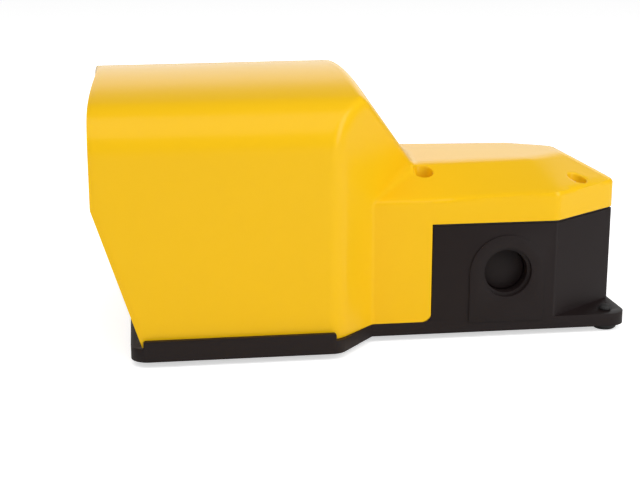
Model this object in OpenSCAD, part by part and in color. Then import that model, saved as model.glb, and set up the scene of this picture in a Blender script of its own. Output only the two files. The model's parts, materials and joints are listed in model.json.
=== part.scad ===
/* [Base plate] */
// Length of the base plate
base_length = 234; // [225:1:250]
// Width of the base plate under the hood
base_width = 156; // [150:1:170]
// Width of the base plate under the switch box
neck_width = 112; // [106:1:118]
// Length of the wide part of the plate, up to where it narrows
wide_length = 92.5; // [88:0.5:96]
// Length over which the plate narrows
taper_length = 18; // [16:0.5:21]
// Thickness of the plate's rim
plate_h = 6; // [5:0.5:8]
// Thickness of the plate's web inside the rim
web_t = 3; // [2:0.5:4]
// Width of the plate's outer rim and of its ribs
rib_t = 2.5; // [2:0.25:4]
// Spacing of the ribs under the plate
rib_pitch = 28; // [20:1:40]
// Radius of the plate's corners
plate_corner_r = 8; // [4:0.5:10]
// Height of the kerb outside the hood's foot
kerb_h = 3.4; // [2:0.2:6]
// Gap between the hood's foot and the kerb
kerb_gap = 0.3; // [0.1:0.1:0.6]
// Gap left at the front end of the kerb
kerb_end_gap = 0.5; // [0.5:0.5:4]
// Gap left at the rear end of the kerb
kerb_rear_gap = 2; // [0.5:0.5:4]
// Radius of the kerb's upper corners
kerb_end_r = 1; // [0.5:0.25:1.5]

/* [Hood] */
// Height of the hood's crest above the floor
crest_z = 124; // [118:1:130]
// Distance of the hood's sides inside the plate's edges
hood_inset = 2.6; // [2.2:0.1:4]
// Wall of the hood and of the box cover
shell_t = 3; // [2:0.25:3.5]
// Radius of the hood's crowned top across its width
crown_r = 210; // [150:5:400]
// Radius between the hood's crown and its sides
shoulder_r = 22; // [16:1:28]
// How far the hood's mouth reaches past the plate
hood_overhang = 15; // [8:1:22]
// How far the hood's foot is set back from the plate's front edge
foot_setback = 5; // [3:0.5:10]
// Height of the knee in the mouth's edge
knee_z = 71; // [55:1:85]
// Height at which the mouth's edge starts to lean back
brow_z = 104; // [98:1:110]
// How far the mouth's edge leans back at the crest
brow_lean = 3.5; // [2:0.5:12]
// Angle of the hood's angled walls from its length
wall_angle = 46.3; // [44:0.1:50]
// Angle of the sloping rear face from level
slope_angle = 51.5; // [46:0.5:58]
// Radius of the crest above the sloping face
slope_crest_r = 12; // [4:1:20]
// Radius of the upright edge between side and angled wall
side_edge_r = 14; // [4:1:24]

/* [Box cover] */
// Height of the cover's lower edge
cover_z = 55.4; // [52:0.2:60]
// Height at which the shoulder starts
shoulder_z = 66.5; // [62:0.5:70]
// Height of the flat top
top_z = 79; // [74:0.5:84]
// Half-width of the flat top at its front end
top_half_front = 28; // [22:0.5:34]
// Half-width of the flat top where it starts to taper
top_half_mid = 22.6; // [18:0.5:28]
// Half-width of the flat top at its rear end
top_half_rear = 12; // [8:0.5:16]
// Distance from the rear wall to the flat top's rear end
top_rear_run = 19.5; // [14:0.5:26]
// Distance from the rear wall to where the flat top starts to taper
top_taper_run = 39.5; // [30:0.5:50]
// Distance the rear corners are cut along the length
corner_cut_x = 36; // [28:1:44]
// Distance the rear corners are cut across the width
corner_cut_y = 26.6; // [20:0.2:32]
// Radius of the upright edges of the cover
cover_edge_r = 3; // [2:0.5:6]
// Radius between the cover's band and its shoulder
band_edge_r = 3; // [1:0.5:4]
// Distance from the box's front wall to the rear edge of the skirt
skirt_overlap = 6.6; // [4:0.2:10]
// Radius of the skirt's lower rear corner
skirt_corner_r = 5; // [2:0.5:10]

/* [Switch box] */
// Distance from the end of the narrowing to the box's front wall
box_front = 21; // [18:0.5:26]
// Wall of the switch box
box_t = 3.5; // [2.5:0.25:4.5]
// Width of the box's rim
rim_w = 8; // [6:0.5:10]
// Thickness of the box's rim
rim_t = 4; // [3:0.5:6]
// Distance of the box's rear wall from the plate's rear edge
box_rear_inset = 0.5; // [0.5:0.5:3]
// Gap between the skirt and the rebate it fits
skirt_gap = 0.4; // [0.2:0.1:0.8]
// Thickness of the flat gasket
gasket_t = 1; // [0.6:0.2:2]
// How far the gasket stays inside the outer face
gasket_inset = 0.8; // [0.4:0.2:1.6]

/* [Cable entries] */
// Diameter of the cable entry
entry_d = 20.5; // [16:0.5:25]
// Distance of the cable entry behind the box's front wall
entry_x = 42.4; // [36:0.2:50]
// Height of the cable entry
entry_z = 31.5; // [28:0.5:34]
// Thickness of the break-out disc
entry_disc_t = 1.5; // [1:0.25:2]
// Depth of the break-out disc behind the pad's face
entry_recess = 7.6; // [5:0.1:7.9]
// Length of the cable entry's bore, from the pad's face
entry_bore_l = 10.5; // [10:0.5:14]
// Wall of the boss around the bore, inside the box
entry_boss_t = 3.5; // [2.5:0.25:5]
// Width of the step around the entry that seats a gland's seal
entry_seat_w = 1.5; // [1:0.25:2.5]
// Depth of the step around the entry
entry_seat_h = 2.3; // [1:0.1:3]
// Width of the raised pad around the entry
pad_w = 35.5; // [32:0.5:42]
// How far the pad stands out from the wall
pad_h = 0.8; // [0.4:0.2:1.6]

/* [Fixing] */
// Distance of the front feet behind the plate's front edge
foot_front_x = 22; // [16:1:30]
// Distance of the rear feet before the plate's rear edge
foot_rear_x = 8.6; // [8:0.2:11]
// Distance of the feet from the plate's centre line
foot_y = 48; // [44:0.5:48.5]
// Height of the rubber feet under the plate
foot_h = 3; // [2:0.5:6]
// Diameter of the rubber feet
foot_d = 11.5; // [10:0.5:14]
// Diameter of the foot's neck in the plate
foot_neck_d = 4.4; // [3.6:0.2:4.6]
// Diameter of the foot's domed head above the plate
foot_head_d = 5.8; // [5.2:0.2:7]
// Height of the foot's domed head
foot_head_h = 2.6; // [2:0.2:3.4]
// Diameter of the fixing holes in the plate
fix_d = 4.5; // [3.5:0.5:5]
// Distance of the front fixing holes behind the plate's front edge
fix_front_x = 11; // [9:0.5:13]
// Distance of the rear fixing holes before the box's rear wall
fix_rear_x = 14; // [13:0.5:18]
// Distance of the fixing holes from the centre line
fix_y = 24; // [20:0.5:26]
// Width of the solid rings under the plate around feet, screws and fixing holes
under_ring = 2.5; // [1.5:0.25:4]
// Diameter of the cover screws' wells
well_d = 9; // [8.6:0.2:9.6]
// Height of the floor of the wells
well_z = 61; // [59.5:0.5:63]
// Distance of the front cover screws behind the box's front wall
cover_screw_x = 6.5; // [6.5:0.5:9]
// Distance of the front cover screws from the centre line
cover_screw_y = 34.5; // [28:0.5:38]
// Distance of the rear cover screws before the box's rear wall
cover_screw_rear_x = 21; // [19:0.5:24]
// Distance of the rear cover screws from the centre line
cover_screw_rear_y = 36.5; // [33:0.5:36.5]
// Diameter of the cover screws' shank
screw_d = 4.2; // [3.5:0.1:5]
// Diameter of the cover screws' head
screw_head_d = 8; // [7:0.2:8.4]
// Height of the screw heads
screw_head_h = 3; // [2:0.2:4]
// How deep the cover screws enter their bosses
screw_bite = 20; // [12:1:26]
// Clearance around a screw's shank in the piece it holds
screw_play = 0.3; // [0.2:0.05:0.5]
// Diameter of the bosses that the screws enter
boss_d = 11; // [10:0.5:13]
// Distance of the hood screws from the hood's outer face
hood_screw_in = 9; // [8:0.5:12]
// Height of the hood's screw bosses
hood_boss_h = 16; // [12:1:24]

/* [Pedal] */
// Distance of the pivot before the box's front wall
pivot_x = 14; // [13.5:0.5:15]
// Height of the pivot
pivot_z = 38; // [36:0.5:40]
// Diameter of the pivot shaft
shaft_d = 8; // [6:0.5:9]
// Angle through which the pedal can be pressed
pedal_travel = 12; // [8:1:13]
// Width of the pedal's tread
tread_w = 108; // [96:2:116]
// Distance from the pivot to the pedal's free edge
pedal_reach = 96; // [88:1:100]
// Angle at which the tread rises towards its free edge
tread_rise = 3; // [1:0.5:5]
// Thickness of the pedal's deck
deck_t = 4; // [3:0.5:6]
// Depth of the pedal's side walls and ribs under the deck
pedal_rib_h = 7; // [5:0.5:8]
// Thickness of the rubber tread pad
pad_t = 3; // [2:0.5:5]
// Distance of the tread pad inside the pedal's edges
pad_inset = 3; // [2:0.5:5]
// Spacing of the grips across the tread pad
grip_pitch = 8; // [6:0.5:12]
// Width of each grip
grip_w = 3; // [2:0.5:4]
// Height of the grips
grip_h = 1; // [0.6:0.2:1.4]
// Diameter of the pedal's hubs
hub_d = 20; // [18:0.5:22]
// Width of each hub
hub_w = 12; // [10:0.5:16]
// Width of the pedal's nose
nose_w = 12; // [8:1:14]
// Distance from the centre line to the inner face of each pedestal
pedestal_y = 42; // [38:0.5:43]
// Thickness of each pedestal
pedestal_t = 6; // [4:0.5:7]
// Gap between moving pieces that don't touch
free_gap = 0.4; // [0.3:0.1:0.8]
// Radial clearance of running fits
running_fit = 0.05; // [0.02:0.01:0.1]
// Wall of the pivot bushes
bush_t = 1.5; // [1:0.25:2]

/* [Return springs] */
// Distance of the springs before the pivot
spring_x = 38; // [32:1:44]
// Distance of the springs from the centre line
spring_y = 24; // [18:1:30]
// Mean diameter of the springs
spring_d = 13; // [11:0.5:16]
// Wire of the springs
spring_wire = 1.6; // [1.2:0.1:2]
// Working turns of each spring
spring_turns = 6; // [4:1:8]
// Height of the posts that hold the springs
post_h = 5; // [3:0.5:7]

/* [Push rod] */
// Distance of the push rod under the pivot
rod_drop = 18; // [16:0.5:20]
// Diameter of the push rod
rod_d = 8; // [6:0.5:9]
// Diameter of the push rod's head
rod_head_d = 13; // [11:0.5:15]
// Thickness of the push rod's head
rod_head_t = 3; // [2:0.5:3]
// Radius of the pedal's nose
nose_r = 4; // [3:0.5:5]
// Wall of the guide bush
guide_t = 2.5; // [2:0.25:3.5]
// Length of the guide bush behind the box's front wall
guide_length = 9; // [8:0.5:12]
// Thickness of the guide bush's flange
guide_flange_t = 2.4; // [2:0.2:2.6]
// Thickness of the guide bush's nut
guide_nut_t = 4; // [3:0.5:5]

/* [Contact block] */
// Distance from the box's front wall to the contact block
block_x = 30; // [26:0.5:34]
// Length of the contact block
block_l = 40; // [38:0.5:44]
// Width of the contact block
block_w = 34; // [32:0.5:38]
// Height of the contact block's tray
block_h = 20; // [18:0.5:22]
// Wall of the contact block
block_t = 2; // [1.5:0.25:2.5]
// Height of the posts under the contact block
block_post_h = 1.5; // [1:0.5:3]
// Thickness of the contact bridges and strips
strip_t = 1; // [0.8:0.1:1.2]
// Width of the contact bridges and strips
strip_w = 6; // [5:0.5:7]
// Section of the contact carrier
carrier_s = 8; // [7:0.5:9]
// Diameter of the contact points
point_d = 3.5; // [2.5:0.25:4]
// Thickness of the contact points
point_t = 0.8; // [0.6:0.1:1]

/* [Hidden] */
$fn = 48;
eps = 0.01;
// How far cutting shapes run past the object
past = 60;

// Lengths along the object, counted from the middle of its overall length
x_rear = (base_length + hood_overhang) / 2;
x_plate = x_rear - base_length;
x_mouth = x_plate - hood_overhang;
x_foot = x_plate + foot_setback;
x_wide = x_plate + wide_length;
x_neck = x_wide + taper_length;
x_box = x_neck + box_front;
x_box_rear = x_rear - box_rear_inset;
x_skirt = x_box + skirt_overlap;
x_pivot = x_box - pivot_x;
x_entry = x_box + entry_x;

// Heights
z_under = foot_h;
z_plate = foot_h + plate_h;
z_rim = cover_z - gasket_t;
z_rod = pivot_z - rod_drop;
tail_z = pivot_z - hub_d / 2 - 1.6;
z_block = z_plate + block_post_h;
z_lid = z_block + block_h;

// Half-widths
half_base = base_width / 2;
half_neck = neck_width / 2;
half_hood = half_base - hood_inset;

// The angled walls meet the cover's sides where the plate stops narrowing, and run on to the
// front end of the flat top, where the sloping rear face ends
wall_slope = tan(wall_angle);
x_slope_foot = x_neck + (half_neck - top_half_front) / wall_slope;
x_slope_top = x_slope_foot - (crest_z - top_z) / tan(slope_angle);

// Motion: the rod moves by the drop under the pivot times the angle in radians
rod_travel = rod_drop * pedal_travel * PI / 180;

// The pedal's own frame starts at the pivot: its side walls' underside, its narrow root and
// where its tread starts
pedal_bottom = -pedal_rib_h;
root_y = pedestal_y - free_gap;
root_x = hub_d / 2 + 8;
tread_x = hub_d / 2 + 16;

// Push rod, its guide and its seal
guide_d = rod_d + 2 * guide_t;
seal_d = rod_d + 3;
seal_t = 1.6;
x_head = x_pivot + nose_r + free_gap;
x_rod_end = x_box + block_x - rod_travel - free_gap;
x_clip = x_box + box_t + guide_length + free_gap;

// Contact block: its ears, its carrier's stems and the room for its spring
x_block = x_box + block_x;
ear_w = 9;
ear_t = 3;
stem_d = 5;
spring_room = 6;
block_screw_d = 3;
terminal_screw_d = 2.5;
saddle_t = 0.8;

// The break contact is in front of its bridge, and the make contact is behind its own
x_bridge = [x_block + block_l * 0.36, x_block + block_l * 0.58];
x_strip = [
    x_bridge[0] - strip_t - 2 * point_t - free_gap,
    x_bridge[1] + strip_t + 2 * point_t + rod_travel + free_gap
];
strip_y = block_w / 2 - block_t - 4.5;
x_spring = x_block + block_l - block_t - rod_travel - free_gap - spring_room;

// Bosses, posts and the walls of the screw wells
hood_boss_d = boss_d - 2;
block_post_d = 7;
well_wall = 2;

// Clips, bumpers and the gasket's cut-out beside the skirts
clip_groove = 0.8;
clip_t = 1;
buffer_d = 12;
buffer_seat = 1.5;
rebate_in = shell_t + skirt_gap + gasket_inset;

// Fixing points
foot_points = [
    for (x = [x_plate + foot_front_x, x_rear - foot_rear_x], y = [-foot_y, foot_y]) [x, y]
];
fix_points = [
    for (x = [x_plate + fix_front_x, x_box_rear - fix_rear_x], y = [-fix_y, fix_y]) [x, y]
];
cover_screw_points = [
    for (s = [-1, 1]) each [
        [x_box + cover_screw_x, s * cover_screw_y],
        [x_box_rear - cover_screw_rear_x, s * cover_screw_rear_y]
    ]
];
hood_screw_points = [
    for (x = [x_foot + 20, x_wide - 14], y = [-1, 1]) [x, y * (half_hood - hood_screw_in)]
];
buffer_points = [for (y = [-1, 1]) [x_pivot - pedal_reach + 12, y * tread_w / 4]];
spring_points = [for (y = [-1, 1]) [x_pivot - spring_x, y * spring_y]];
block_screw_points = [
    for (s = [-1, 1]) [x_block + block_l / 2, s * (block_w / 2 + ear_w / 2 - 0.5)]
];

// ---- Outlines ----

module rounded(r) {
    offset(r = r) offset(delta = -r) children();
}

module mirrored() {
    children();
    mirror([0, 1]) children();
}

// Plan of the base plate
module plate_outline() {
    rounded(plate_corner_r)
        mirrored()
            polygon([
                [x_plate, -eps], [x_plate, half_base], [x_wide, half_base],
                [x_neck, half_neck], [x_rear, half_neck], [x_rear, -eps]
            ]);
}

// Plan of the switch box, grown or shrunk by d
module box_outline(x_start, d = 0) {
    offset(delta = d)
        rounded(cover_edge_r)
            mirrored()
                polygon([
                    [x_start, -eps], [x_start, half_neck],
                    [x_box_rear - corner_cut_x, half_neck],
                    [x_box_rear, half_neck - corner_cut_y], [x_box_rear, -eps]
                ]);
}

// Plan of the cover's flat top
module top_outline(x_start, d = 0) {
    grow = (top_half_front - top_half_mid)
        / (x_box_rear - top_taper_run - x_slope_foot) * (x_slope_foot - x_start);
    offset(delta = d)
        mirrored()
            polygon([
                [x_start, -eps], [x_start, top_half_front + grow],
                [x_box_rear - top_taper_run, top_half_mid],
                [x_box_rear - top_rear_run, top_half_rear],
                [x_box_rear - top_rear_run, -eps]
            ]);
}

// Section of the hood across its width
module arch_outline(d = 0) {
    offset(delta = d, $fn = 64)
        rounded(shoulder_r, $fn = 64)
            intersection() {
                translate([0, crest_z - crown_r])
                    circle(crown_r, $fn = 240);
                translate([-half_hood, -shoulder_r])
                    square([2 * half_hood, crest_z + shoulder_r]);
            }
}

// Side view of the space under the crest and the sloping rear face
module slope_side(d = 0) {
    run = (crest_z - z_plate + past) / tan(slope_angle);
    offset(delta = d)
        rounded(slope_crest_r)
            polygon([
                [x_mouth - past, z_plate - past], [x_mouth - past, crest_z],
                [x_slope_top, crest_z], [x_slope_top + run, z_plate - past]
            ]);
}

// Side view of what lies behind the edge of the mouth: raked to the knee, upright, then curved back
module mouth_side() {
    polygon([
        [x_rear, z_plate], [x_foot, z_plate], [x_mouth, knee_z],
        for (t = [0 : 0.1 : 1]) [x_mouth + brow_lean * pow(t, 4), brow_z + (crest_z - brow_z) * t],
        [x_rear, crest_z + eps]
    ]);
}

// Plan of the hood with its angled walls
module hood_plan(d = 0) {
    offset(delta = d)
        rounded(side_edge_r)
            mirrored()
                polygon([
                    [x_mouth - past, -eps], [x_mouth - past, half_hood],
                    [x_neck - (half_hood - half_neck) / wall_slope, half_hood],
                    [x_slope_foot + 20, top_half_front - 20 * wall_slope],
                    [x_slope_foot + 20, -eps]
                ]);
}

// ---- Hood and box cover ----

// Hood as one solid that runs on past its mouth, its walls moved by d
module hood_form(d = 0) {
    intersection() {
        translate([x_mouth - past, 0, 0])
            rotate([90, 0, 90])
                linear_extrude(x_rear - x_mouth + past)
                    arch_outline(d);
        translate([0, half_hood + 1, 0])
            rotate([90, 0, 0])
                linear_extrude(2 * half_hood + 2)
                    slope_side(d);
        translate([0, 0, z_plate - 2])
            linear_extrude(crest_z)
                hood_plan(d);
    }
}

module hood_body() {
    intersection() {
        hood_form();
        translate([0, half_hood + 1, 0])
            rotate([90, 0, 0])
                linear_extrude(2 * half_hood + 2)
                    mouth_side();
    }
}

// Box cover as one solid: a band, a rounded edge and a hipped roof
module cover_body(d = 0, z_low = cover_z) {
    x_start = x_wide + 4;
    hull() {
        translate([0, 0, z_low])
            linear_extrude(shoulder_z - band_edge_r * 0.6 - z_low)
                box_outline(x_start, d);
        translate([0, 0, shoulder_z])
            linear_extrude(eps)
                box_outline(x_start, d - band_edge_r * 0.25);
        translate([0, 0, top_z + d * 1.05 - eps])
            linear_extrude(eps)
                top_outline(x_start, d * 0.45);
    }
}

// Sides of the cover that run down to the plate beside the pedal's pivot
module skirt_body() {
    z_top = cover_z + 2 * skirt_corner_r;
    translate([0, half_neck, 0])
        rotate([90, 0, 0])
            linear_extrude(neck_width)
                rounded(skirt_corner_r)
                    polygon([
                        [x_wide - past, z_plate], [x_skirt, z_plate],
                        [x_skirt, z_top], [x_wide - past, z_top]
                    ]);
}

module neck_body() {
    intersection() {
        skirt_body();
        union() {
            translate([0, 0, z_plate - eps])
                linear_extrude(top_z)
                    hood_plan();
            translate([x_neck, -half_neck, z_plate - eps])
                cube([x_rear, neck_width, top_z]);
        }
    }
}

module hood_cover() {
    color("gold")
        difference() {
            union() {
                difference() {
                    union() {
                        hood_body();
                        cover_body();
                        neck_body();
                    }
                    hood_form(-shell_t);
                    cover_body(-shell_t, cover_z - eps);
                    // Room between the skirts, open to the plate
                    translate([x_wide, -half_neck + shell_t, z_plate - 1])
                        cube([x_rear, neck_width - 2 * shell_t, cover_z - z_plate + 1]);
                }
                cover_flange();
                bulkhead();
                for (p = cover_screw_points)
                    cover_post(p);
                for (p = hood_screw_points)
                    translate([p[0], p[1], z_plate])
                        hood_boss(p[1]);
            }
            for (p = cover_screw_points)
                translate([p[0], p[1], 0]) {
                    translate([0, 0, well_z])
                        cylinder(d = well_d, h = top_z);
                    cylinder(d = screw_d + 2 * screw_play, h = well_z + 1);
                }
            for (p = hood_screw_points)
                translate([p[0], p[1], z_plate - 1])
                    cylinder(d = screw_d + 2 * running_fit, h = hood_boss_h - 2);
        }
}

// Flange inside the cover's lower edge, which presses on the gasket
module cover_flange() {
    translate([0, 0, cover_z])
        linear_extrude(shell_t)
            difference() {
                box_outline(x_box, -shell_t / 2);
                box_outline(x_box, -rim_w);
            }
}

// What lies under the middle of the cover's and the hood's wall
module under_skin() {
    cover_body(-shell_t / 2);
    hood_form(-shell_t / 2);
}

// Cross wall of the cover over the box's front wall
module bulkhead() {
    intersection() {
        translate([x_box, -half_neck, cover_z])
            cube([shell_t, neck_width, top_z]);
        under_skin();
    }
}

// Post between the roof and the flange that carries a screw well
module cover_post(p) {
    intersection() {
        translate([p[0], p[1], cover_z])
            cylinder(d = well_d + 2 * well_wall, h = top_z);
        under_skin();
    }
}

module hood_boss(y) {
    cylinder(d = hood_boss_d, h = hood_boss_h);
    translate([-rib_t / 2, y > 0 ? 0 : -hood_screw_in + shell_t / 2, 0])
        cube([rib_t, hood_screw_in - shell_t / 2, hood_boss_h]);
}

// ---- Base ----

module base_housing() {
    color([0.16, 0.14, 0.14])
        difference() {
            union() {
                difference() {
                    translate([0, 0, z_under])
                        linear_extrude(plate_h)
                            plate_outline();
                    under_pockets();
                }
                kerbs();
                box_walls();
                entry_pads();
                pedestals();
                for (p = spring_points)
                    translate([p[0], p[1], z_plate - web_t])
                        cylinder(d = spring_d - spring_wire - 1, h = web_t + post_h);
                for (p = cover_screw_points)
                    intersection() {
                        translate([p[0], p[1], z_plate - web_t])
                            cylinder(d = boss_d, h = z_rim - z_plate + web_t);
                        linear_extrude(z_rim)
                            box_outline(x_box);
                    }
                for (p = block_screw_points)
                    translate([p[0], p[1], z_plate - web_t])
                        cylinder(d = block_post_d, h = web_t + block_post_h);
            }
            for (p = foot_points)
                translate([p[0], p[1], z_under - 1])
                    cylinder(d = foot_neck_d, h = plate_h + 2);
            for (p = fix_points)
                translate([p[0], p[1], z_under - 1])
                    cylinder(d = fix_d, h = plate_h + 2);
            for (p = hood_screw_points)
                translate([p[0], p[1], z_under - 1]) {
                    cylinder(d = screw_d + 2 * screw_play, h = plate_h + 2);
                    cylinder(d = screw_head_d + 1, h = 1 + plate_h - web_t);
                }
            for (p = cover_screw_points)
                translate([p[0], p[1], z_rim - screw_bite - 4])
                    cylinder(d = screw_d + 2 * running_fit, h = screw_bite + 6);
            for (p = block_screw_points)
                translate([p[0], p[1], z_plate - web_t + 0.8])
                    cylinder(d = block_screw_d + 2 * running_fit, h = web_t + block_post_h);
            for (p = buffer_points)
                translate([p[0], p[1], z_plate - buffer_seat])
                    cylinder(d = buffer_d, h = buffer_seat + 1);
            entry_holes();
            translate([x_box - 1, 0, z_rod])
                rotate([0, 90, 0])
                    cylinder(d = guide_d, h = box_t + 2);
            for (s = [-1, 1])
                translate([x_pivot, s * (pedestal_y + pedestal_t / 2), pivot_z])
                    rotate([90, 0, 0])
                        cylinder(d = shaft_d, h = pedestal_t + 2, center = true);
        }
}

// Pockets under the plate, between its rim, its ribs and its solid pads
module under_pockets() {
    translate([0, 0, z_under - 1])
        linear_extrude(1 + plate_h - web_t)
            difference() {
                offset(delta = -rib_t)
                    plate_outline();
                for (x = [x_plate + rib_pitch : rib_pitch : x_rear - rib_t])
                    translate([x, 0])
                        square([rib_t, base_width], center = true);
                for (y = [-1, 1], k = [0.5, 1.5, 2.5])
                    translate([0, y * k * rib_pitch])
                        square([base_length * 2, rib_t], center = true);
                under_rings(foot_points, foot_d);
                under_rings(fix_points, fix_d + 3);
                under_rings(hood_screw_points, screw_head_d + 1);
                under_rings(buffer_points, buffer_d);
            }
}

module under_rings(points, d) {
    for (p = points)
        translate(p)
            circle(d = d + 2 * under_ring);
}

// Kerbs outside the hood's foot, flush with the plate's edge
module kerbs() {
    kerb_t = half_base - half_hood - kerb_gap;
    x0 = x_foot + kerb_end_gap;
    x1 = x_wide - kerb_rear_gap;
    for (s = [-1, 1])
        translate([0, s > 0 ? half_base : -half_base + kerb_t, 0])
            rotate([90, 0, 0])
                linear_extrude(kerb_t)
                    intersection() {
                        translate([x0, z_plate - eps])
                            square([x1 - x0, kerb_h + eps]);
                        rounded(kerb_end_r)
                            translate([x0, z_plate - kerb_h])
                                square([x1 - x0, 2 * kerb_h]);
                    }
}

module box_walls() {
    rebate = shell_t + skirt_gap;
    difference() {
        translate([0, 0, z_plate - eps])
            linear_extrude(z_rim - z_plate + eps)
                box_outline(x_box);
        translate([0, 0, z_plate])
            linear_extrude(z_rim - rim_t - z_plate)
                offset(delta = -box_t)
                    box_inner();
        translate([0, 0, z_plate])
            linear_extrude(z_rim)
                box_outline(x_box, -rim_w);
        // Rebate for the skirt
        for (s = [-1, 1])
            translate([0, s > 0 ? half_neck + 1 : -half_neck + rebate, 0])
                rotate([90, 0, 0])
                    linear_extrude(rebate + 1)
                        rounded(skirt_corner_r)
                            polygon([
                                [x_box - 20, z_plate], [x_skirt + skirt_gap, z_plate],
                                [x_skirt + skirt_gap, cover_z + 20],
                                [x_box - 20, cover_z + 20]
                            ]);
    }
}

// Plan of the box's inside face before its wall is taken off, narrower behind the rebate
module box_inner() {
    difference() {
        box_outline(x_box);
        for (s = [-1, 1])
            translate([x_box - 1, s > 0 ? half_neck - shell_t - skirt_gap : -half_neck - 1])
                square([skirt_overlap + skirt_gap + 1, shell_t + skirt_gap + 1]);
    }
}

// Raised pads around the cable entries, running down to the plate, and the bosses behind them
module entry_pads() {
    for (s = [-1, 1]) {
        translate([x_entry, s > 0 ? half_neck + pad_h : -half_neck + 1, 0])
            rotate([90, 0, 0])
                linear_extrude(pad_h + 1) {
                    translate([0, entry_z])
                        circle(d = pad_w);
                    translate([-pad_w / 2, z_plate - 1])
                        square([pad_w, entry_z - z_plate + 1]);
                }
        translate([x_entry, s * (half_neck - 1), entry_z])
            rotate([90 * s, 0, 0])
                cylinder(d = entry_d + 2 * entry_boss_t, h = entry_bore_l - pad_h - 1);
    }
}

module entry_holes() {
    for (s = [-1, 1])
        translate([x_entry, s * (half_neck + pad_h + 1), entry_z])
            rotate([90 * s, 0, 0]) {
                cylinder(d = entry_d, h = entry_bore_l + 2);
                cylinder(d = entry_d + 2 * entry_seat_w, h = entry_seat_h + 1);
            }
}

// Pedestals that hold the pivot shaft, braced to the box's front wall
module pedestals() {
    ledge = [8, 6];
    for (s = [-1, 1]) {
        translate([0, s > 0 ? pedestal_y + pedestal_t : -pedestal_y, 0])
            rotate([90, 0, 0])
                linear_extrude(pedestal_t) {
                    translate([x_pivot, pivot_z])
                        circle(d = hub_d - 2);
                    polygon([
                        [x_pivot - hub_d * 0.7, z_plate - eps],
                        [x_pivot - hub_d / 2 + 1, pivot_z],
                        [x_pivot + hub_d / 2 - 1, pivot_z],
                        [x_box + 1, z_rod + 6], [x_box + 1, z_plate - eps]
                    ]);
                }
        // Ledge that stops the pedal's tail at rest
        translate([x_box - ledge[0], s * (pedestal_y - hub_w / 2) - ledge[1] / 2, z_plate - eps])
            cube([ledge[0] + eps, ledge[1], tail_z - free_gap - z_plate + eps]);
    }
}

// ---- Gasket, screws, feet and entry discs ----

module cover_gasket() {
    color([0.1, 0.1, 0.1])
        translate([0, 0, z_rim])
            linear_extrude(gasket_t)
                difference() {
                    union() {
                        difference() {
                            box_outline(x_box, -gasket_inset);
                            box_outline(x_box, -rim_w);
                            // Room for the skirts
                            for (s = [-1, 1])
                                translate([x_box - 1, s > 0 ? half_neck - rebate_in : -half_neck - 1])
                                    square([skirt_overlap + skirt_gap + 1.5, rebate_in + 1]);
                        }
                        for (p = cover_screw_points)
                            intersection() {
                                translate(p)
                                    circle(d = boss_d);
                                box_outline(x_box, -gasket_inset);
                            }
                    }
                    for (p = cover_screw_points)
                        translate(p)
                            circle(d = screw_d + 2 * screw_play);
                }
}

// Pan-head screw with a cross recess, its head's underside at z = 0
module pan_screw(shank_d, length, head_d, head_h) {
    difference() {
        union() {
            cylinder(d = head_d, h = head_h * 0.55);
            translate([0, 0, head_h * 0.55])
                cylinder(d1 = head_d, d2 = head_d * 0.7, h = head_h * 0.45);
            translate([0, 0, -length])
                cylinder(d = shank_d, h = length + eps);
        }
        for (a = [0, 90])
            rotate(a)
                translate([-head_d * 0.28, -head_d * 0.06, head_h * 0.4])
                    cube([head_d * 0.56, head_d * 0.12, head_h]);
    }
}

module cover_screws() {
    color("silver")
        for (p = cover_screw_points)
            translate([p[0], p[1], well_z])
                pan_screw(screw_d, well_z - z_rim + screw_bite, screw_head_d, screw_head_h);
}

module hood_screws() {
    color("silver")
        for (p = hood_screw_points)
            translate([p[0], p[1], z_plate - web_t])
                mirror([0, 0, 1])
                    pan_screw(screw_d, web_t + hood_boss_h - 5, screw_head_d, web_t - 0.4);
}

// Push-in feet: a pad under the plate, a neck in it and a domed head above it
module rubber_feet() {
    r = foot_head_d / 2;
    color([0.07, 0.07, 0.07])
        for (p = foot_points)
            translate([p[0], p[1], 0])
                rotate_extrude()
                    polygon([
                        [0, 0], [foot_d / 2 - 1, 0], [foot_d / 2, 1],
                        [foot_d / 2, foot_h], [foot_neck_d / 2, foot_h],
                        [foot_neck_d / 2, z_plate], [r, z_plate],
                        [r, z_plate + foot_head_h * 0.35], [r * 0.87, z_plate + foot_head_h * 0.68],
                        [r * 0.5, z_plate + foot_head_h * 0.92], [0, z_plate + foot_head_h]
                    ]);
}

// Thin discs that close the cable entries until one is broken out
module entry_discs() {
    color([0.13, 0.12, 0.12])
        for (s = [-1, 1])
            translate([x_entry, s * (half_neck + pad_h - entry_recess), entry_z])
                rotate([90 * s, 0, 0])
                    cylinder(d = entry_d, h = entry_disc_t);
}

// ---- Pivot and stops ----

module pivot_shaft() {
    half = pedestal_y + pedestal_t + clip_t + 2.5;
    color("silver")
        translate([x_pivot, 0, pivot_z])
            rotate([90, 0, 0])
                difference() {
                    cylinder(d = shaft_d, h = 2 * half, center = true);
                    for (s = [-1, 1])
                        translate([0, 0, s * (half - 2.5)])
                            difference() {
                                cylinder(d = shaft_d + 2, h = clip_t, center = true);
                                cylinder(d = shaft_d - 2 * clip_groove, h = 2 * clip_t, center = true);
                            }
                }
}

// Open retaining ring: bore d, opening upwards in y
module open_ring(d, t) {
    linear_extrude(t)
        difference() {
            circle(d = d + 5);
            circle(d = d);
            translate([-d * 0.3, 0])
                square([d * 0.6, d]);
        }
}

module shaft_clips() {
    color("dimgray")
        for (s = [-1, 1])
            translate([x_pivot, s * (pedestal_y + pedestal_t + 1) + 0.5, pivot_z])
                rotate([90, 0, 0])
                    open_ring(shaft_d - 2 * clip_groove, clip_t);
}

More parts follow.
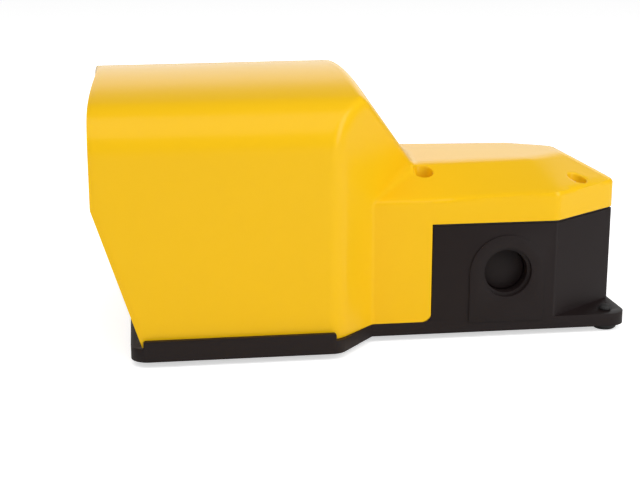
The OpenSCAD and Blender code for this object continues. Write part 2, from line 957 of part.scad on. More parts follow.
// Rubber bumpers that the pedal lands on
module stop_buffers() {
    color([0.1, 0.1, 0.1])
        for (p = buffer_points)
            translate([p[0], p[1], z_plate - buffer_seat])
                rotate_extrude()
                    polygon([
                        [0, 0], [buffer_d / 2, 0], [buffer_d / 2, buffer_seat],
                        [buffer_d / 2 - buffer_seat, buffer_h(p) + buffer_seat],
                        [0, buffer_h(p) + buffer_seat]
                    ]);
}

// Height of a bumper that the pressed pedal almost touches
function buffer_h(p) =
    pivot_z - z_plate + pedal_bottom
    - (x_pivot - p[0] + buffer_d / 2) * tan(pedal_travel - tread_rise) - free_gap;

// ---- Push rod parts ----

module guide_bush() {
    color("goldenrod")
        translate([x_box, 0, z_rod])
            rotate([0, 90, 0])
                difference() {
                    union() {
                        translate([0, 0, -guide_flange_t])
                            cylinder(d = guide_d + 5, h = guide_flange_t);
                        cylinder(d = guide_d, h = guide_length + box_t);
                    }
                    translate([0, 0, -guide_flange_t - 1])
                        cylinder(d = rod_d + 2 * running_fit, h = guide_length + 20);
                    translate([0, 0, -guide_flange_t - 1])
                        cylinder(d = seal_d, h = 1 + seal_t);
                }
}

module rod_seal() {
    color([0.1, 0.1, 0.1])
        translate([x_box - guide_flange_t, 0, z_rod])
            rotate([0, 90, 0])
                difference() {
                    cylinder(d = seal_d, h = seal_t);
                    translate([0, 0, -1])
                        cylinder(d = rod_d + 2 * running_fit, h = seal_t + 2);
                }
}

module guide_nut() {
    color("goldenrod")
        translate([x_box + box_t, 0, z_rod])
            rotate([0, 90, 0])
                difference() {
                    cylinder(d = guide_d + 7, h = guide_nut_t, $fn = 6);
                    translate([0, 0, -1])
                        cylinder(d = guide_d, h = guide_nut_t + 2);
                }
}

module push_rod() {
    color("lightsteelblue")
        translate([x_head, 0, z_rod])
            rotate([0, 90, 0])
                difference() {
                    union() {
                        cylinder(d = rod_head_d, h = rod_head_t);
                        cylinder(d = rod_d, h = x_rod_end - x_head);
                    }
                    translate([0, 0, x_clip - x_head])
                        difference() {
                            cylinder(d = rod_d + 2, h = clip_t);
                            cylinder(d = rod_d - 2 * clip_groove, h = clip_t);
                        }
                }
}

module rod_clip() {
    color("dimgray")
        translate([x_clip, 0, z_rod])
            rotate([90, 0, 90])
                open_ring(rod_d - 2 * clip_groove, clip_t);
}

// ---- Contact block ----

module contact_block() {
    color([0.85, 0.84, 0.8])
        difference() {
            union() {
                difference() {
                    translate([x_block, -block_w / 2, z_block])
                        cube([block_l, block_w, block_h]);
                    translate([x_block + block_t, -block_w / 2 + block_t, z_block + block_t])
                        cube([block_l - 2 * block_t, block_w - 2 * block_t, block_h]);
                }
                for (p = block_screw_points)
                    translate([p[0] - ear_w / 2, p[1] - ear_w / 2, z_block])
                        cube([ear_w, ear_w, ear_t]);
            }
            for (p = block_screw_points)
                translate([p[0], p[1], z_block - 1])
                    cylinder(d = block_screw_d + 2 * running_fit, h = ear_t + 2);
            // Bores that guide the carrier's stems
            translate([x_block - 1, 0, z_rod])
                rotate([0, 90, 0])
                    cylinder(d = stem_d + 2 * running_fit, h = block_l + 2);
        }
}

module block_lid() {
    color([0.75, 0.74, 0.7])
        difference() {
            translate([x_block, -block_w / 2, z_lid])
                cube([block_l, block_w, block_t]);
            for (k = [0, 1], s = [-1, 1])
                translate([x_strip[k] - 0.2, s * strip_y - strip_w / 2 - 0.2, z_lid - 1])
                    cube([strip_t + 0.4, strip_w + 0.4, block_t + 2]);
            for (k = [0, 1], s = [-1, 1])
                translate([tab_x(k), s * strip_y, z_lid - 1])
                    cylinder(d = terminal_screw_d + 2 * running_fit, h = block_t + 2);
        }
}

// Centre of the terminal tab of contact pair k
function tab_x(k) = x_strip[k] + (k == 0 ? -1 : 1) * 4.5 + strip_t / 2;

module contact_strips() {
    z_tab = z_lid + block_t;
    color("peru")
        for (k = [0, 1], s = [-1, 1]) {
            side = k == 0 ? 1 : -1;
            translate([x_strip[k], s * strip_y - strip_w / 2, z_rod - strip_w / 2])
                cube([strip_t, strip_w, z_tab - z_rod + strip_w / 2 + strip_t]);
            translate([x_strip[k] + strip_t / 2, s * strip_y, z_rod])
                rotate([0, 90, 0])
                    translate([0, 0, side > 0 ? strip_t / 2 : -strip_t / 2 - point_t])
                        cylinder(d = point_d, h = point_t);
            difference() {
                translate([min(x_strip[k], tab_x(k) - 3.5), s * strip_y - strip_w / 2, z_tab])
                    cube([abs(tab_x(k) - x_strip[k]) + 3.5 + (k == 0 ? strip_t : 0), strip_w, strip_t]);
                translate([tab_x(k), s * strip_y, z_tab - 1])
                    cylinder(d = terminal_screw_d + 2 * running_fit, h = strip_t + 2);
            }
        }
}

// Square saddle washers under the terminal screws
module terminal_clamps() {
    color("silver")
        for (k = [0, 1], s = [-1, 1])
            translate([tab_x(k), s * strip_y, z_lid + block_t + strip_t])
                difference() {
                    translate([-3, -strip_w / 2, 0])
                        cube([6, strip_w, saddle_t]);
                    translate([0, 0, -1])
                        cylinder(d = terminal_screw_d + 2 * running_fit, h = 3);
                }
}

module terminal_screws() {
    color("silver")
        for (k = [0, 1], s = [-1, 1])
            translate([tab_x(k), s * strip_y, z_lid + block_t + strip_t + saddle_t])
                pan_screw(terminal_screw_d, block_t + strip_t + saddle_t + 1, 5, 2);
}

module block_screws() {
    color("silver")
        for (p = block_screw_points)
            translate([p[0], p[1], z_block + ear_t])
                pan_screw(block_screw_d, ear_t + block_post_h + web_t - 1, 5.4, 2.2);
}

// Carrier that the rod pushes, with a window for each bridge
module contact_carrier() {
    body_x = x_block + block_t + free_gap;
    color("whitesmoke")
        difference() {
            union() {
                translate([x_rod_end, 0, z_rod])
                    rotate([0, 90, 0])
                        cylinder(d = stem_d, h = x_block + block_l - x_rod_end);
                translate([body_x, -carrier_s / 2, z_rod - carrier_s / 2])
                    cube([x_spring - body_x, carrier_s, carrier_s]);
            }
            for (x = x_bridge)
                translate([x, -carrier_s, z_rod - strip_w / 2])
                    cube([strip_t, 2 * carrier_s, strip_w]);
        }
}

module contact_bridges() {
    color("peru")
        for (k = [0, 1]) {
            translate([x_bridge[k], -strip_y - strip_w / 2, z_rod - strip_w / 2])
                cube([strip_t, 2 * strip_y + strip_w, strip_w]);
            for (s = [-1, 1])
                translate([x_bridge[k] + (k == 0 ? -point_t : strip_t), s * strip_y, z_rod])
                    rotate([0, 90, 0])
                        cylinder(d = point_d, h = point_t);
        }
}

// Compression spring behind the carrier, drawn at its closed length
module carrier_spring() {
    color("silver")
        translate([x_spring, 0, z_rod])
            rotate([0, 90, 0])
                coil(stem_d + 2.2, 0.8, 5, spring_room);
}

// ---- Pedal ----

// The pedal's own frame: x from the pivot towards the free edge, z across the deck
module pedal_frame() {
    translate([x_pivot, 0, pivot_z])
        rotate([0, tread_rise, 0])
            mirror([1, 0, 0])
                children();
}

module pedal_deck() {
    difference() {
        translate([0, 0, pedal_bottom])
            linear_extrude(pedal_rib_h + deck_t)
                pedal_outline();
        // Pockets between the ribs
        translate([0, 0, pedal_bottom - 1])
            linear_extrude(pedal_rib_h + 1)
                difference() {
                    offset(delta = -rib_t)
                        pedal_outline();
                    for (x = [root_x + 12 : 20 : pedal_reach - 8])
                        translate([x, 0])
                            square([rib_t, tread_w], center = true);
                    for (y = [-1, 1], k = [0.125, 0.375])
                        translate([0, y * k * tread_w])
                            square([2 * pedal_reach, rib_t], center = true);
                    for (p = spring_points)
                        translate([x_pivot - p[0], p[1]])
                            circle(d = spring_d + spring_wire + 5);
                }
    }
}

// Plan of the pedal: the tread's wide part and its narrower root
module pedal_outline() {
    rounded(3)
        mirrored()
            polygon([
                [hub_d / 2 + 1, -eps], [hub_d / 2 + 1, root_y],
                [root_x, root_y], [tread_x, tread_w / 2],
                [pedal_reach, tread_w / 2], [pedal_reach, -eps]
            ]);
}

module pedal() {
    color([0.2, 0.19, 0.19])
        difference() {
            union() {
                pedal_frame()
                    pedal_deck();
                // Hubs, their arms and the tails that rest on the ledges
                for (s = [-1, 1])
                    translate([x_pivot, s > 0 ? root_y : -root_y + hub_w, pivot_z])
                        rotate([90, 0, 0])
                            linear_extrude(hub_w) {
                                circle(d = hub_d);
                                translate([-hub_d / 2 - 3, -hub_d / 2 + 3])
                                    square([hub_d / 2 + 3, hub_d / 2]);
                                translate([0, tail_z - pivot_z])
                                    square([pivot_x - 4, hub_d / 2 - 3]);
                            }
                // Nose under the pivot that pushes the rod
                nose();
            }
            translate([x_pivot, 0, pivot_z])
                rotate([90, 0, 0])
                    cylinder(d = shaft_d + 2 * (bush_t + running_fit), h = tread_w, center = true);
            // Seats that hold the springs' upper ends
            for (p = spring_points)
                pedal_frame()
                    translate([x_pivot - p[0], p[1], pedal_bottom - 1])
                        cylinder(d = spring_d + spring_wire + 1, h = 3);
        }
}

// Arm in the middle of the pedal with a round nose beside the rod's head
module nose() {
    translate([0, nose_w / 2, 0])
        rotate([90, 0, 0])
            linear_extrude(nose_w) {
                translate([x_pivot, z_rod])
                    circle(r = nose_r);
                polygon([
                    [x_pivot - nose_r, z_rod], [x_pivot + nose_r, z_rod],
                    [x_pivot + nose_r, pivot_z - 7], [x_pivot + 3, pivot_z + 1],
                    [x_pivot - hub_d / 2 - 4, pivot_z + 3],
                    [x_pivot - hub_d / 2 - 4, pivot_z - pedal_rib_h + 1]
                ]);
            }
}

// Rubber pad on the deck, with grips across it
module tread_pad() {
    x0 = tread_x + pad_inset - 1;
    x1 = pedal_reach - pad_inset;
    half = tread_w / 2 - pad_inset;
    edge = pad_inset + 1;
    color([0.12, 0.12, 0.12])
        pedal_frame()
            translate([0, 0, deck_t]) {
                linear_extrude(pad_t - grip_h)
                    rounded(3)
                        translate([x0, -half])
                            square([x1 - x0, 2 * half]);
                for (x = [x0 + edge : grip_pitch : x1 - edge])
                    translate([x - grip_w / 2, -half + edge, pad_t - grip_h - eps])
                        cube([grip_w, 2 * (half - edge), grip_h + eps]);
            }
}

// Bushes pressed into the hubs, which turn on the shaft
module pivot_bushes() {
    color("whitesmoke")
        for (s = [-1, 1])
            translate([x_pivot, s * (root_y - hub_w / 2), pivot_z])
                rotate([90, 0, 0])
                    difference() {
                        cylinder(d = shaft_d + 2 * (bush_t + running_fit), h = hub_w, center = true);
                        cylinder(d = shaft_d + 2 * running_fit, h = hub_w + 2, center = true);
                    }
}

// ---- Springs ----

// Points of a ring of the wire at turn angle a
function wire_ring(a, z, d, wire, sides = 8) = [
    for (k = [0 : sides - 1])
        let (t = 360 * k / sides, r = d / 2 + wire / 2 * cos(t))
            [r * cos(a), r * sin(a), z + wire / 2 * sin(t)]
];

// Helical spring of mean diameter d standing on z = 0, with a flat turn at each end
module coil(d, wire, turns, height) {
    sides = 6;
    per_turn = 12;
    steps = (turns + 2) * per_turn;
    rise = height - 3 * wire;
    function z_at(i) = let (t = i / per_turn)
        t < 1 ? wire / 2 + wire * t
        : t > turns + 1 ? height - wire / 2 - wire * (turns + 2 - t)
        : wire * 1.5 + rise * (t - 1) / turns;
    points = [for (i = [0 : steps]) each wire_ring(360 * i / per_turn, z_at(i), d, wire, sides)];
    faces = concat(
        [[for (k = [0 : sides - 1]) k]],
        [for (i = [0 : steps - 1], k = [0 : sides - 1])
            let (a = i * sides + k, b = i * sides + (k + 1) % sides)
                [a, a + sides, b + sides, b]],
        [[for (k = [sides - 1 : -1 : 0]) steps * sides + k]]
    );
    polyhedron(points = points, faces = faces, convexity = 10);
}

module return_springs() {
    top = pivot_z + pedal_bottom + 2 + (spring_x - spring_d / 2) * tan(tread_rise) - free_gap;
    color("silver")
        for (p = spring_points)
            translate([p[0], p[1], z_plate])
                coil(spring_d, spring_wire, spring_turns, top - z_plate);
}

base_housing();
hood_cover();
cover_gasket();
cover_screws();
hood_screws();
rubber_feet();
entry_discs();
pivot_shaft();
shaft_clips();
stop_buffers();
guide_bush();
guide_nut();
rod_seal();
contact_block();
block_lid();
contact_strips();
terminal_clamps();
terminal_screws();
block_screws();
pedal();
tread_pad();
pivot_bushes();
return_springs();
push_rod();
rod_clip();
contact_carrier();
contact_bridges();
carrier_spring();
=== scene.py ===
"""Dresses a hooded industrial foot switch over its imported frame: shells, finishes, stage."""

import itertools
import json
import math

import bmesh
import bpy
import numpy as np
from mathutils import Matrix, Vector
from mathutils.bvhtree import BVHTree


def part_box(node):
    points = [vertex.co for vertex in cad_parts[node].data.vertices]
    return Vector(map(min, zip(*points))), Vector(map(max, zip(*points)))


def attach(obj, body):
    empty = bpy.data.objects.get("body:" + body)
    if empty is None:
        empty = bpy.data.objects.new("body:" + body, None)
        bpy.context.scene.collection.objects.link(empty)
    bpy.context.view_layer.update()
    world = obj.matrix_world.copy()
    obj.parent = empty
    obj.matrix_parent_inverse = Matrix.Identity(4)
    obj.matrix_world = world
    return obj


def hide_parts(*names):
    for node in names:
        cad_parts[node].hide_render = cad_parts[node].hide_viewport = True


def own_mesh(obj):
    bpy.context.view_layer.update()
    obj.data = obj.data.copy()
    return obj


bl_info = {
    "name": "Foot Switch Builder",
    "version": (1, 0, 0),
    "blender": (4, 5, 0),
    "location": "View3D > Sidebar > Foot Switch",
    "description": "Builds the shells, finishes and stage of a hooded foot switch",
    "category": "Add Mesh",
}

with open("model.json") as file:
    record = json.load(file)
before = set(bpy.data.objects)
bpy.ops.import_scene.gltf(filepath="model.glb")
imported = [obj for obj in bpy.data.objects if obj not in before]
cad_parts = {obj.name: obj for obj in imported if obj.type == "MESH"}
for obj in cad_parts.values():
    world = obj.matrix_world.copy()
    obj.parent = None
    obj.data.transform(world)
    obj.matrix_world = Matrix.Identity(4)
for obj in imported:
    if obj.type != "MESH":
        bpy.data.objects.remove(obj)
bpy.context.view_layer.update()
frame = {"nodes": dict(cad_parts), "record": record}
MM = 0.001
FINISH = "_finish"
ABOVE = 0.2                     # height over all of the object, from which rays are cast down
DOWN = Vector((0, 0, -1))
ROUND = 64                      # sides of a turned piece
DISC_EDGE = 0.8 * MM
RUBBER_EDGE = 0.5 * MM

# Yellow moulding, rays and rows
FAR = 9.0                       # stands for a ray that never meets a face
GRAZING = 1e-6                  # least cosine at which a ray still meets a face
MOUTH_ROWS = 22                 # rows between the mouth's edge and the first cross-section
MERIDIANS = 150                 # rows of the half-dome

# Yellow moulding, inside
COVER_EDGE = 55.4 * MM          # lower edge of the box cover
ROOF_DEPTH = 1.3 * MM           # how far inner walls end under the outside
WELL_RADIUS = 4.5 * MM
WELL_FLOOR = 61 * MM
POST_RADIUS = WELL_RADIUS + 2 * MM
POST_FOOT = 57 * MM
SCREW_HOLE = 2.4 * MM
BOSS_RADIUS = 4.5 * MM
BOSS_BORE = 2.15 * MM
BOSS_FOOT = 9 * MM
BOSS_TOP = 25 * MM
RIB_HALF = 1.25 * MM

# Return springs
SPRING_WIRE = 1.6 * MM
SPRING_TURNS = 6
SPRING_GROUND = 0.15            # share of the wire that is ground off at each end
SPRING_GAP = 0.35 * MM          # room over the plate, in which a pressed spring leans

# Lamps: name, the setting that holds the power, width and height, place, point that it faces
LAMPS = (
    ("key", "key_power", (0.5, 1.3), (1.0, -0.8, 0.68), (0, 0, 0.05)),
    ("front", "front_power", (2.2, 1.6), (-0.3, -0.88, 1.55), (0, 0, 0.05)),
    ("backdrop", "back_power", (3.0, 0.9), (0.0, 1.5, 0.55), (0, 0, 0.1)))


# ---------------------------------------------------------------- sizes from the frame

def node_box(name):
    """Lowest and highest corner of a CAD node, as numpy arrays in metres."""
    low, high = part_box(name)
    return np.array(low), np.array(high)


HOOD_LOW, HOOD_HIGH = node_box("hood_cover")


# ---------------------------------------------------------------- settings

class HoodSettings(bpy.types.PropertyGroup):
    """Sizes and colour of the yellow moulding."""

    wall: bpy.props.FloatProperty(
        name="Wall", description="Wall of the moulding",
        default=3 * MM, min=MM, subtype="DISTANCE", unit="LENGTH")
    lip_radius: bpy.props.FloatProperty(
        name="Lip radius", description="Rounding of the moulding's free edges",
        default=1.0 * MM, min=0, subtype="DISTANCE", unit="LENGTH")
    crown_radius: bpy.props.FloatProperty(
        name="Crown radius", description="Radius of the crest across the width",
        default=210 * MM, min=0.1, subtype="DISTANCE", unit="LENGTH")
    shoulder_radius: bpy.props.FloatProperty(
        name="Shoulder radius", description="Radius between the crown and the sides",
        default=22 * MM, min=MM, subtype="DISTANCE", unit="LENGTH")
    grid_step: bpy.props.FloatProperty(
        name="Grid step", description="Spacing of the surface grid near its edges",
        default=1.1 * MM, min=0.5 * MM, subtype="DISTANCE", unit="LENGTH")
    colour: bpy.props.FloatVectorProperty(
        name="Colour", description="Yellow of the moulding",
        default=(0.955, 0.555, 0.006), size=3, min=0, max=1, subtype="COLOR")
    roughness: bpy.props.FloatProperty(
        name="Roughness", description="Roughness of the moulded skin",
        default=0.24, min=0, max=1)


class BaseSettings(bpy.types.PropertyGroup):
    """Colour and edge rounding of the black mouldings."""

    edge: bpy.props.FloatProperty(
        name="Edge", description="Rounding of the moulded edges",
        default=0.45 * MM, min=0, subtype="DISTANCE", unit="LENGTH")
    colour: bpy.props.FloatVectorProperty(
        name="Colour", description="Black of the base and box",
        default=(0.0145, 0.0090, 0.0088), size=3, min=0, max=1, subtype="COLOR")
    roughness: bpy.props.FloatProperty(
        name="Roughness", description="Roughness of the black skin",
        default=0.5, min=0, max=1)


class RubberSettings(bpy.types.PropertyGroup):
    """Colour of the rubber parts."""

    colour: bpy.props.FloatVectorProperty(
        name="Colour", description="Colour of feet, pad, gasket and bumpers",
        default=(0.021, 0.020, 0.020), size=3, min=0, max=1, subtype="COLOR")


class StageSettings(bpy.types.PropertyGroup):
    """Camera, lamps and floor."""

    lens: bpy.props.FloatProperty(
        name="Lens", description="Focal length of the camera in millimetres",
        default=71.93, min=10)
    pitch: bpy.props.FloatProperty(
        name="Pitch", description="How far the camera looks down",
        default=math.radians(14.0), subtype="ANGLE")
    yaw: bpy.props.FloatProperty(
        name="Yaw", description="How far the camera turns towards the switch box",
        default=math.radians(8.142), subtype="ANGLE")
    position: bpy.props.FloatVectorProperty(
        name="Position", description="Place of the camera",
        default=(-0.1028, -0.6111, 0.1898), size=3, subtype="XYZ", unit="LENGTH")
    key_power: bpy.props.FloatProperty(
        name="Key power", description="Power of the softbox at the upper right in watts",
        default=7.6, min=0)
    front_power: bpy.props.FloatProperty(
        name="Front power", description="Power of the softbox above the camera in watts",
        default=14.8, min=0)
    back_power: bpy.props.FloatProperty(
        name="Backdrop power", description="Power of the lamp behind the object in watts",
        default=9.5, min=0)
    ambient: bpy.props.FloatProperty(
        name="Ambient", description="Light from all around on the object and the floor",
        default=0.38, min=0, max=1)
    reflected: bpy.props.FloatProperty(
        name="Reflected", description="How bright the surroundings show in reflections",
        default=0.08, min=0, max=1)
    floor_glow: bpy.props.FloatProperty(
        name="Floor glow", description="White that the floor adds for the camera alone",
        default=0.6, min=0, max=1)


# ---------------------------------------------------------------- shader groups

def new_group(name, inputs, outputs):
    """A shader node group with float or vector sockets and nothing between them."""
    kinds = {"float": "NodeSocketFloat", "vector": "NodeSocketVector"}
    tree = bpy.data.node_groups.new(name, "ShaderNodeTree")
    for label, kind, value in inputs:
        socket = tree.interface.new_socket(name=label, in_out="INPUT", socket_type=kinds[kind])
        socket.default_value = value
    for label, kind in outputs:
        tree.interface.new_socket(name=label, in_out="OUTPUT", socket_type=kinds[kind])
    return tree, tree.nodes.new("NodeGroupInput"), tree.nodes.new("NodeGroupOutput")


def noise(tree, where, scale, detail, roughness):
    """The height of a noise of a given scale at a vector socket."""
    node = tree.nodes.new("ShaderNodeTexNoise")
    node.inputs["Detail"].default_value = detail
    node.inputs["Roughness"].default_value = roughness
    tree.links.new(where, node.inputs["Vector"])
    tree.links.new(scale, node.inputs["Scale"])
    return node.outputs["Fac"]


def reckon(tree, operation, *values):
    """The result of a math node whose inputs are sockets to link or numbers to set."""
    node = tree.nodes.new("ShaderNodeMath")
    node.operation = operation
    for socket, value in zip(node.inputs, values):
        if isinstance(value, bpy.types.NodeSocket):
            tree.links.new(value, socket)
        else:
            socket.default_value = value
    return node.outputs[0]


def give(tree, out, **values):
    """Links sockets to a group's outputs by name."""
    for label, value in values.items():
        tree.links.new(value, out.inputs[label])


def moulded_skin_group():
    """Fine moulded grain with faint flow marks: a height, a tone and a roughness to add."""
    tree, given, out = new_group(
        "moulded_skin",
        [("Grain Scale", "float", 900.0), ("Flow Scale", "float", 14.0),
         ("Tone Spread", "float", 0.03), ("Roughness", "float", 0.35),
         ("Roughness Spread", "float", 0.06)],
        [("Height", "float"), ("Tone", "float"), ("Roughness", "float")])
    sizes = given.outputs
    where = tree.nodes.new("ShaderNodeTexCoord").outputs["Object"]
    grain = noise(tree, where, sizes["Grain Scale"], 3.0, 0.6)
    flow = noise(tree, where, sizes["Flow Scale"], 2.0, 0.5)
    tone = reckon(tree, "MULTIPLY_ADD", flow, sizes["Tone Spread"], 1.0)
    rough = reckon(tree, "MULTIPLY_ADD", flow, sizes["Roughness Spread"], sizes["Roughness"])
    give(tree, out, Height=grain, Tone=tone, Roughness=rough)


def drawn_metal_group():
    """Fine lines along one axis: a height, a tone and a roughness."""
    tree, given, out = new_group(
        "drawn_metal",
        [("Stretch", "vector", (1.0, 1.0, 1.0)), ("Scale", "float", 600.0),
         ("Roughness", "float", 0.3)],
        [("Height", "float"), ("Tone", "float"), ("Roughness", "float")])
    where = tree.nodes.new("ShaderNodeTexCoord")
    stretched = tree.nodes.new("ShaderNodeMapping")
    tree.links.new(where.outputs["Object"], stretched.inputs["Vector"])
    tree.links.new(given.outputs["Stretch"], stretched.inputs["Scale"])
    lines = noise(tree, stretched.outputs["Vector"], given.outputs["Scale"], 4.0, 0.7)
    tone = reckon(tree, "MULTIPLY_ADD", lines, 0.2, 0.9)
    rough = reckon(tree, "MULTIPLY_ADD", lines, 0.18, given.outputs["Roughness"])
    give(tree, out, Height=lines, Tone=tone, Roughness=rough)


# ---------------------------------------------------------------- materials

def shaded(name, colour, group, values, bump, bump_distance, **surface):
    """A Principled material whose tone, roughness and bump come from one effect group."""
    material = bpy.data.materials.new(name)
    material.use_nodes = True
    tree = material.node_tree
    surface_node = tree.nodes["Principled BSDF"]
    for label, value in surface.items():
        surface_node.inputs[label].default_value = value
    effect = tree.nodes.new("ShaderNodeGroup")
    effect.node_tree = bpy.data.node_groups[group]
    for label, value in values.items():
        effect.inputs[label].default_value = value
    tint = tree.nodes.new("ShaderNodeMix")
    tint.data_type = "RGBA"
    tint.blend_type = "MULTIPLY"
    tint.inputs[0].default_value = 1.0
    tint.inputs[6].default_value = (*colour, 1.0)
    tree.links.new(effect.outputs["Tone"], tint.inputs[7])
    tree.links.new(tint.outputs[2], surface_node.inputs["Base Color"])
    tree.links.new(effect.outputs["Roughness"], surface_node.inputs["Roughness"])
    raised = tree.nodes.new("ShaderNodeBump")
    raised.inputs["Strength"].default_value = bump
    raised.inputs["Distance"].default_value = bump_distance
    tree.links.new(effect.outputs["Height"], raised.inputs["Height"])
    tree.links.new(raised.outputs["Normal"], surface_node.inputs["Normal"])
    return material


def plastic(name, colour, roughness, grain=900.0, bump=0.06, ior=1.5):
    """Moulded plastic with a fine grain."""
    return shaded(
        name, colour, "moulded_skin",
        {"Grain Scale": grain, "Roughness": roughness - 0.03}, bump, 0.05 * MM, IOR=ior)


def rubber(name, colour):
    """Matt black rubber with a coarser skin."""
    return shaded(
        name, colour, "moulded_skin",
        {"Grain Scale": 500.0, "Roughness": 0.62, "Tone Spread": 0.2, "Roughness Spread": 0.1},
        0.25, 0.1 * MM, IOR=1.5)


def metal(name, colour, roughness, stretch=(1.0, 1.0, 1.0)):
    """Machined or drawn metal with fine lines."""
    return shaded(
        name, colour, "drawn_metal", {"Roughness": roughness, "Stretch": stretch},
        0.1, 0.03 * MM, Metallic=1.0)


def finish_for(slot):
    """The material of one of the record's slots, made the first time that it is asked for."""
    name = slot + FINISH
    made = bpy.data.materials.get(name)
    if made:
        return made
    hood = bpy.context.scene.foot_hood
    base = bpy.context.scene.foot_base
    soft = bpy.context.scene.foot_rubber
    makers = {
        "yellow_plastic": lambda n: plastic(
            n, hood.colour, hood.roughness, grain=1500.0, bump=0.02, ior=1.3),
        "black_plastic": lambda n: plastic(n, base.colour, base.roughness, ior=1.32),
        "pedal_plastic": lambda n: plastic(n, (0.020, 0.019, 0.019), 0.48, bump=0.1),
        "rubber": lambda n: rubber(n, soft.colour),
        "tread_rubber": lambda n: rubber(n, (0.026, 0.025, 0.025)),
        "zinc_steel": lambda n: metal(n, (0.62, 0.63, 0.64), 0.26),
        "bright_steel": lambda n: metal(n, (0.58, 0.59, 0.60), 0.2, (0.2, 3.0, 3.0)),
        "spring_steel": lambda n: metal(n, (0.16, 0.16, 0.18), 0.35),
        "brass": lambda n: metal(n, (0.72, 0.50, 0.20), 0.26, (0.3, 3.0, 3.0)),
        "contact_copper": lambda n: metal(n, (0.76, 0.38, 0.20), 0.25),
        "ivory_plastic": lambda n: plastic(n, (0.62, 0.58, 0.48), 0.4),
        "white_plastic": lambda n: plastic(n, (0.74, 0.74, 0.71), 0.35),
    }
    return makers[slot](name)


# ---------------------------------------------------------------- mesh helpers

def smooth_by_angle(mesh, degrees):
    """Smooth shading, with edges sharper than the angle kept sharp."""
    mesh.shade_smooth()
    mesh.set_sharp_from_angle(angle=math.radians(degrees))


def new_piece(name, points, faces):
    """An object at the origin from an array of points and a list of faces."""
    mesh = bpy.data.meshes.new(name)
    mesh.from_pydata([tuple(p) for p in points.tolist()], [], faces)
    mesh.update()
    piece = bpy.data.objects.new(name, mesh)
    bpy.context.scene.collection.objects.link(piece)
    return piece


def baked(piece):
    """Applies a piece's modifiers to its mesh."""
    bpy.context.view_layer.update()
    graph = bpy.context.evaluated_depsgraph_get()
    old = piece.data
    piece.data = bpy.data.meshes.new_from_object(piece.evaluated_get(graph))
    piece.modifiers.clear()
    bpy.data.meshes.remove(old)


def grid_faces(rows, columns, closed=False, start=0):
    """Quads of a grid of points stored row by row; closed joins the last column to the first."""
    index = np.arange(rows * columns).reshape(rows, columns) + start
    if closed:
        index = np.hstack([index, index[:, :1]])
    quads = np.stack([index[:-1, :-1], index[:-1, 1:], index[1:, 1:], index[1:, :-1]], -1)
    return quads.reshape(-1, 4)


def dressed_copy(node, edge, slot, body):
    """A CAD node's solid with its flat faces joined and its edges rounded, in the node's place."""
    mesh = frame["nodes"][node].data.copy()
    work = bmesh.new()
    work.from_mesh(mesh)
    bmesh.ops.remove_doubles(work, verts=work.verts, dist=2e-6)
    bmesh.ops.dissolve_limit(
        work, angle_limit=math.radians(0.2), verts=work.verts, edges=work.edges)
    work.to_mesh(mesh)
    work.free()
    mesh.name = node + FINISH
    piece = bpy.data.objects.new(node + FINISH, mesh)
    bpy.context.scene.collection.objects.link(piece)
    mesh.materials.clear()
    mesh.materials.append(finish_for(slot))
    bevel = piece.modifiers.new("rounded_edges", "BEVEL")
    bevel.width = edge
    bevel.segments = 2
    bevel.limit_method = "ANGLE"
    bevel.angle_limit = math.radians(32)
    bevel.use_clamp_overlap = True
    baked(piece)
    smooth_by_angle(piece.data, 40.0)
    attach(piece, body)
    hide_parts(node)


def own_finish(node, slot):
    """A CAD node keeps its solid and takes the material of its slot."""
    mesh = frame["nodes"][node].data
    mesh.materials.clear()
    mesh.materials.append(finish_for(slot))


# ---------------------------------------------------------------- the yellow moulding

def smooth_min(a, b, k):
    """The lesser of a and b, rounded where they differ by less than k."""
    h = np.maximum(k - np.abs(a - b), 0) / k
    return np.minimum(a, b) - h * h * k / 4


def smooth_max(a, b, k):
    """The greater of a and b, rounded where they differ by less than k."""
    return -smooth_min(-a, -b, k)


def meeting(facing, gap):
    """Length of a ray that closes a gap at the rate facing, or a long way if it never does."""
    return np.where(facing > GRAZING, gap / np.maximum(facing, GRAZING), FAR)


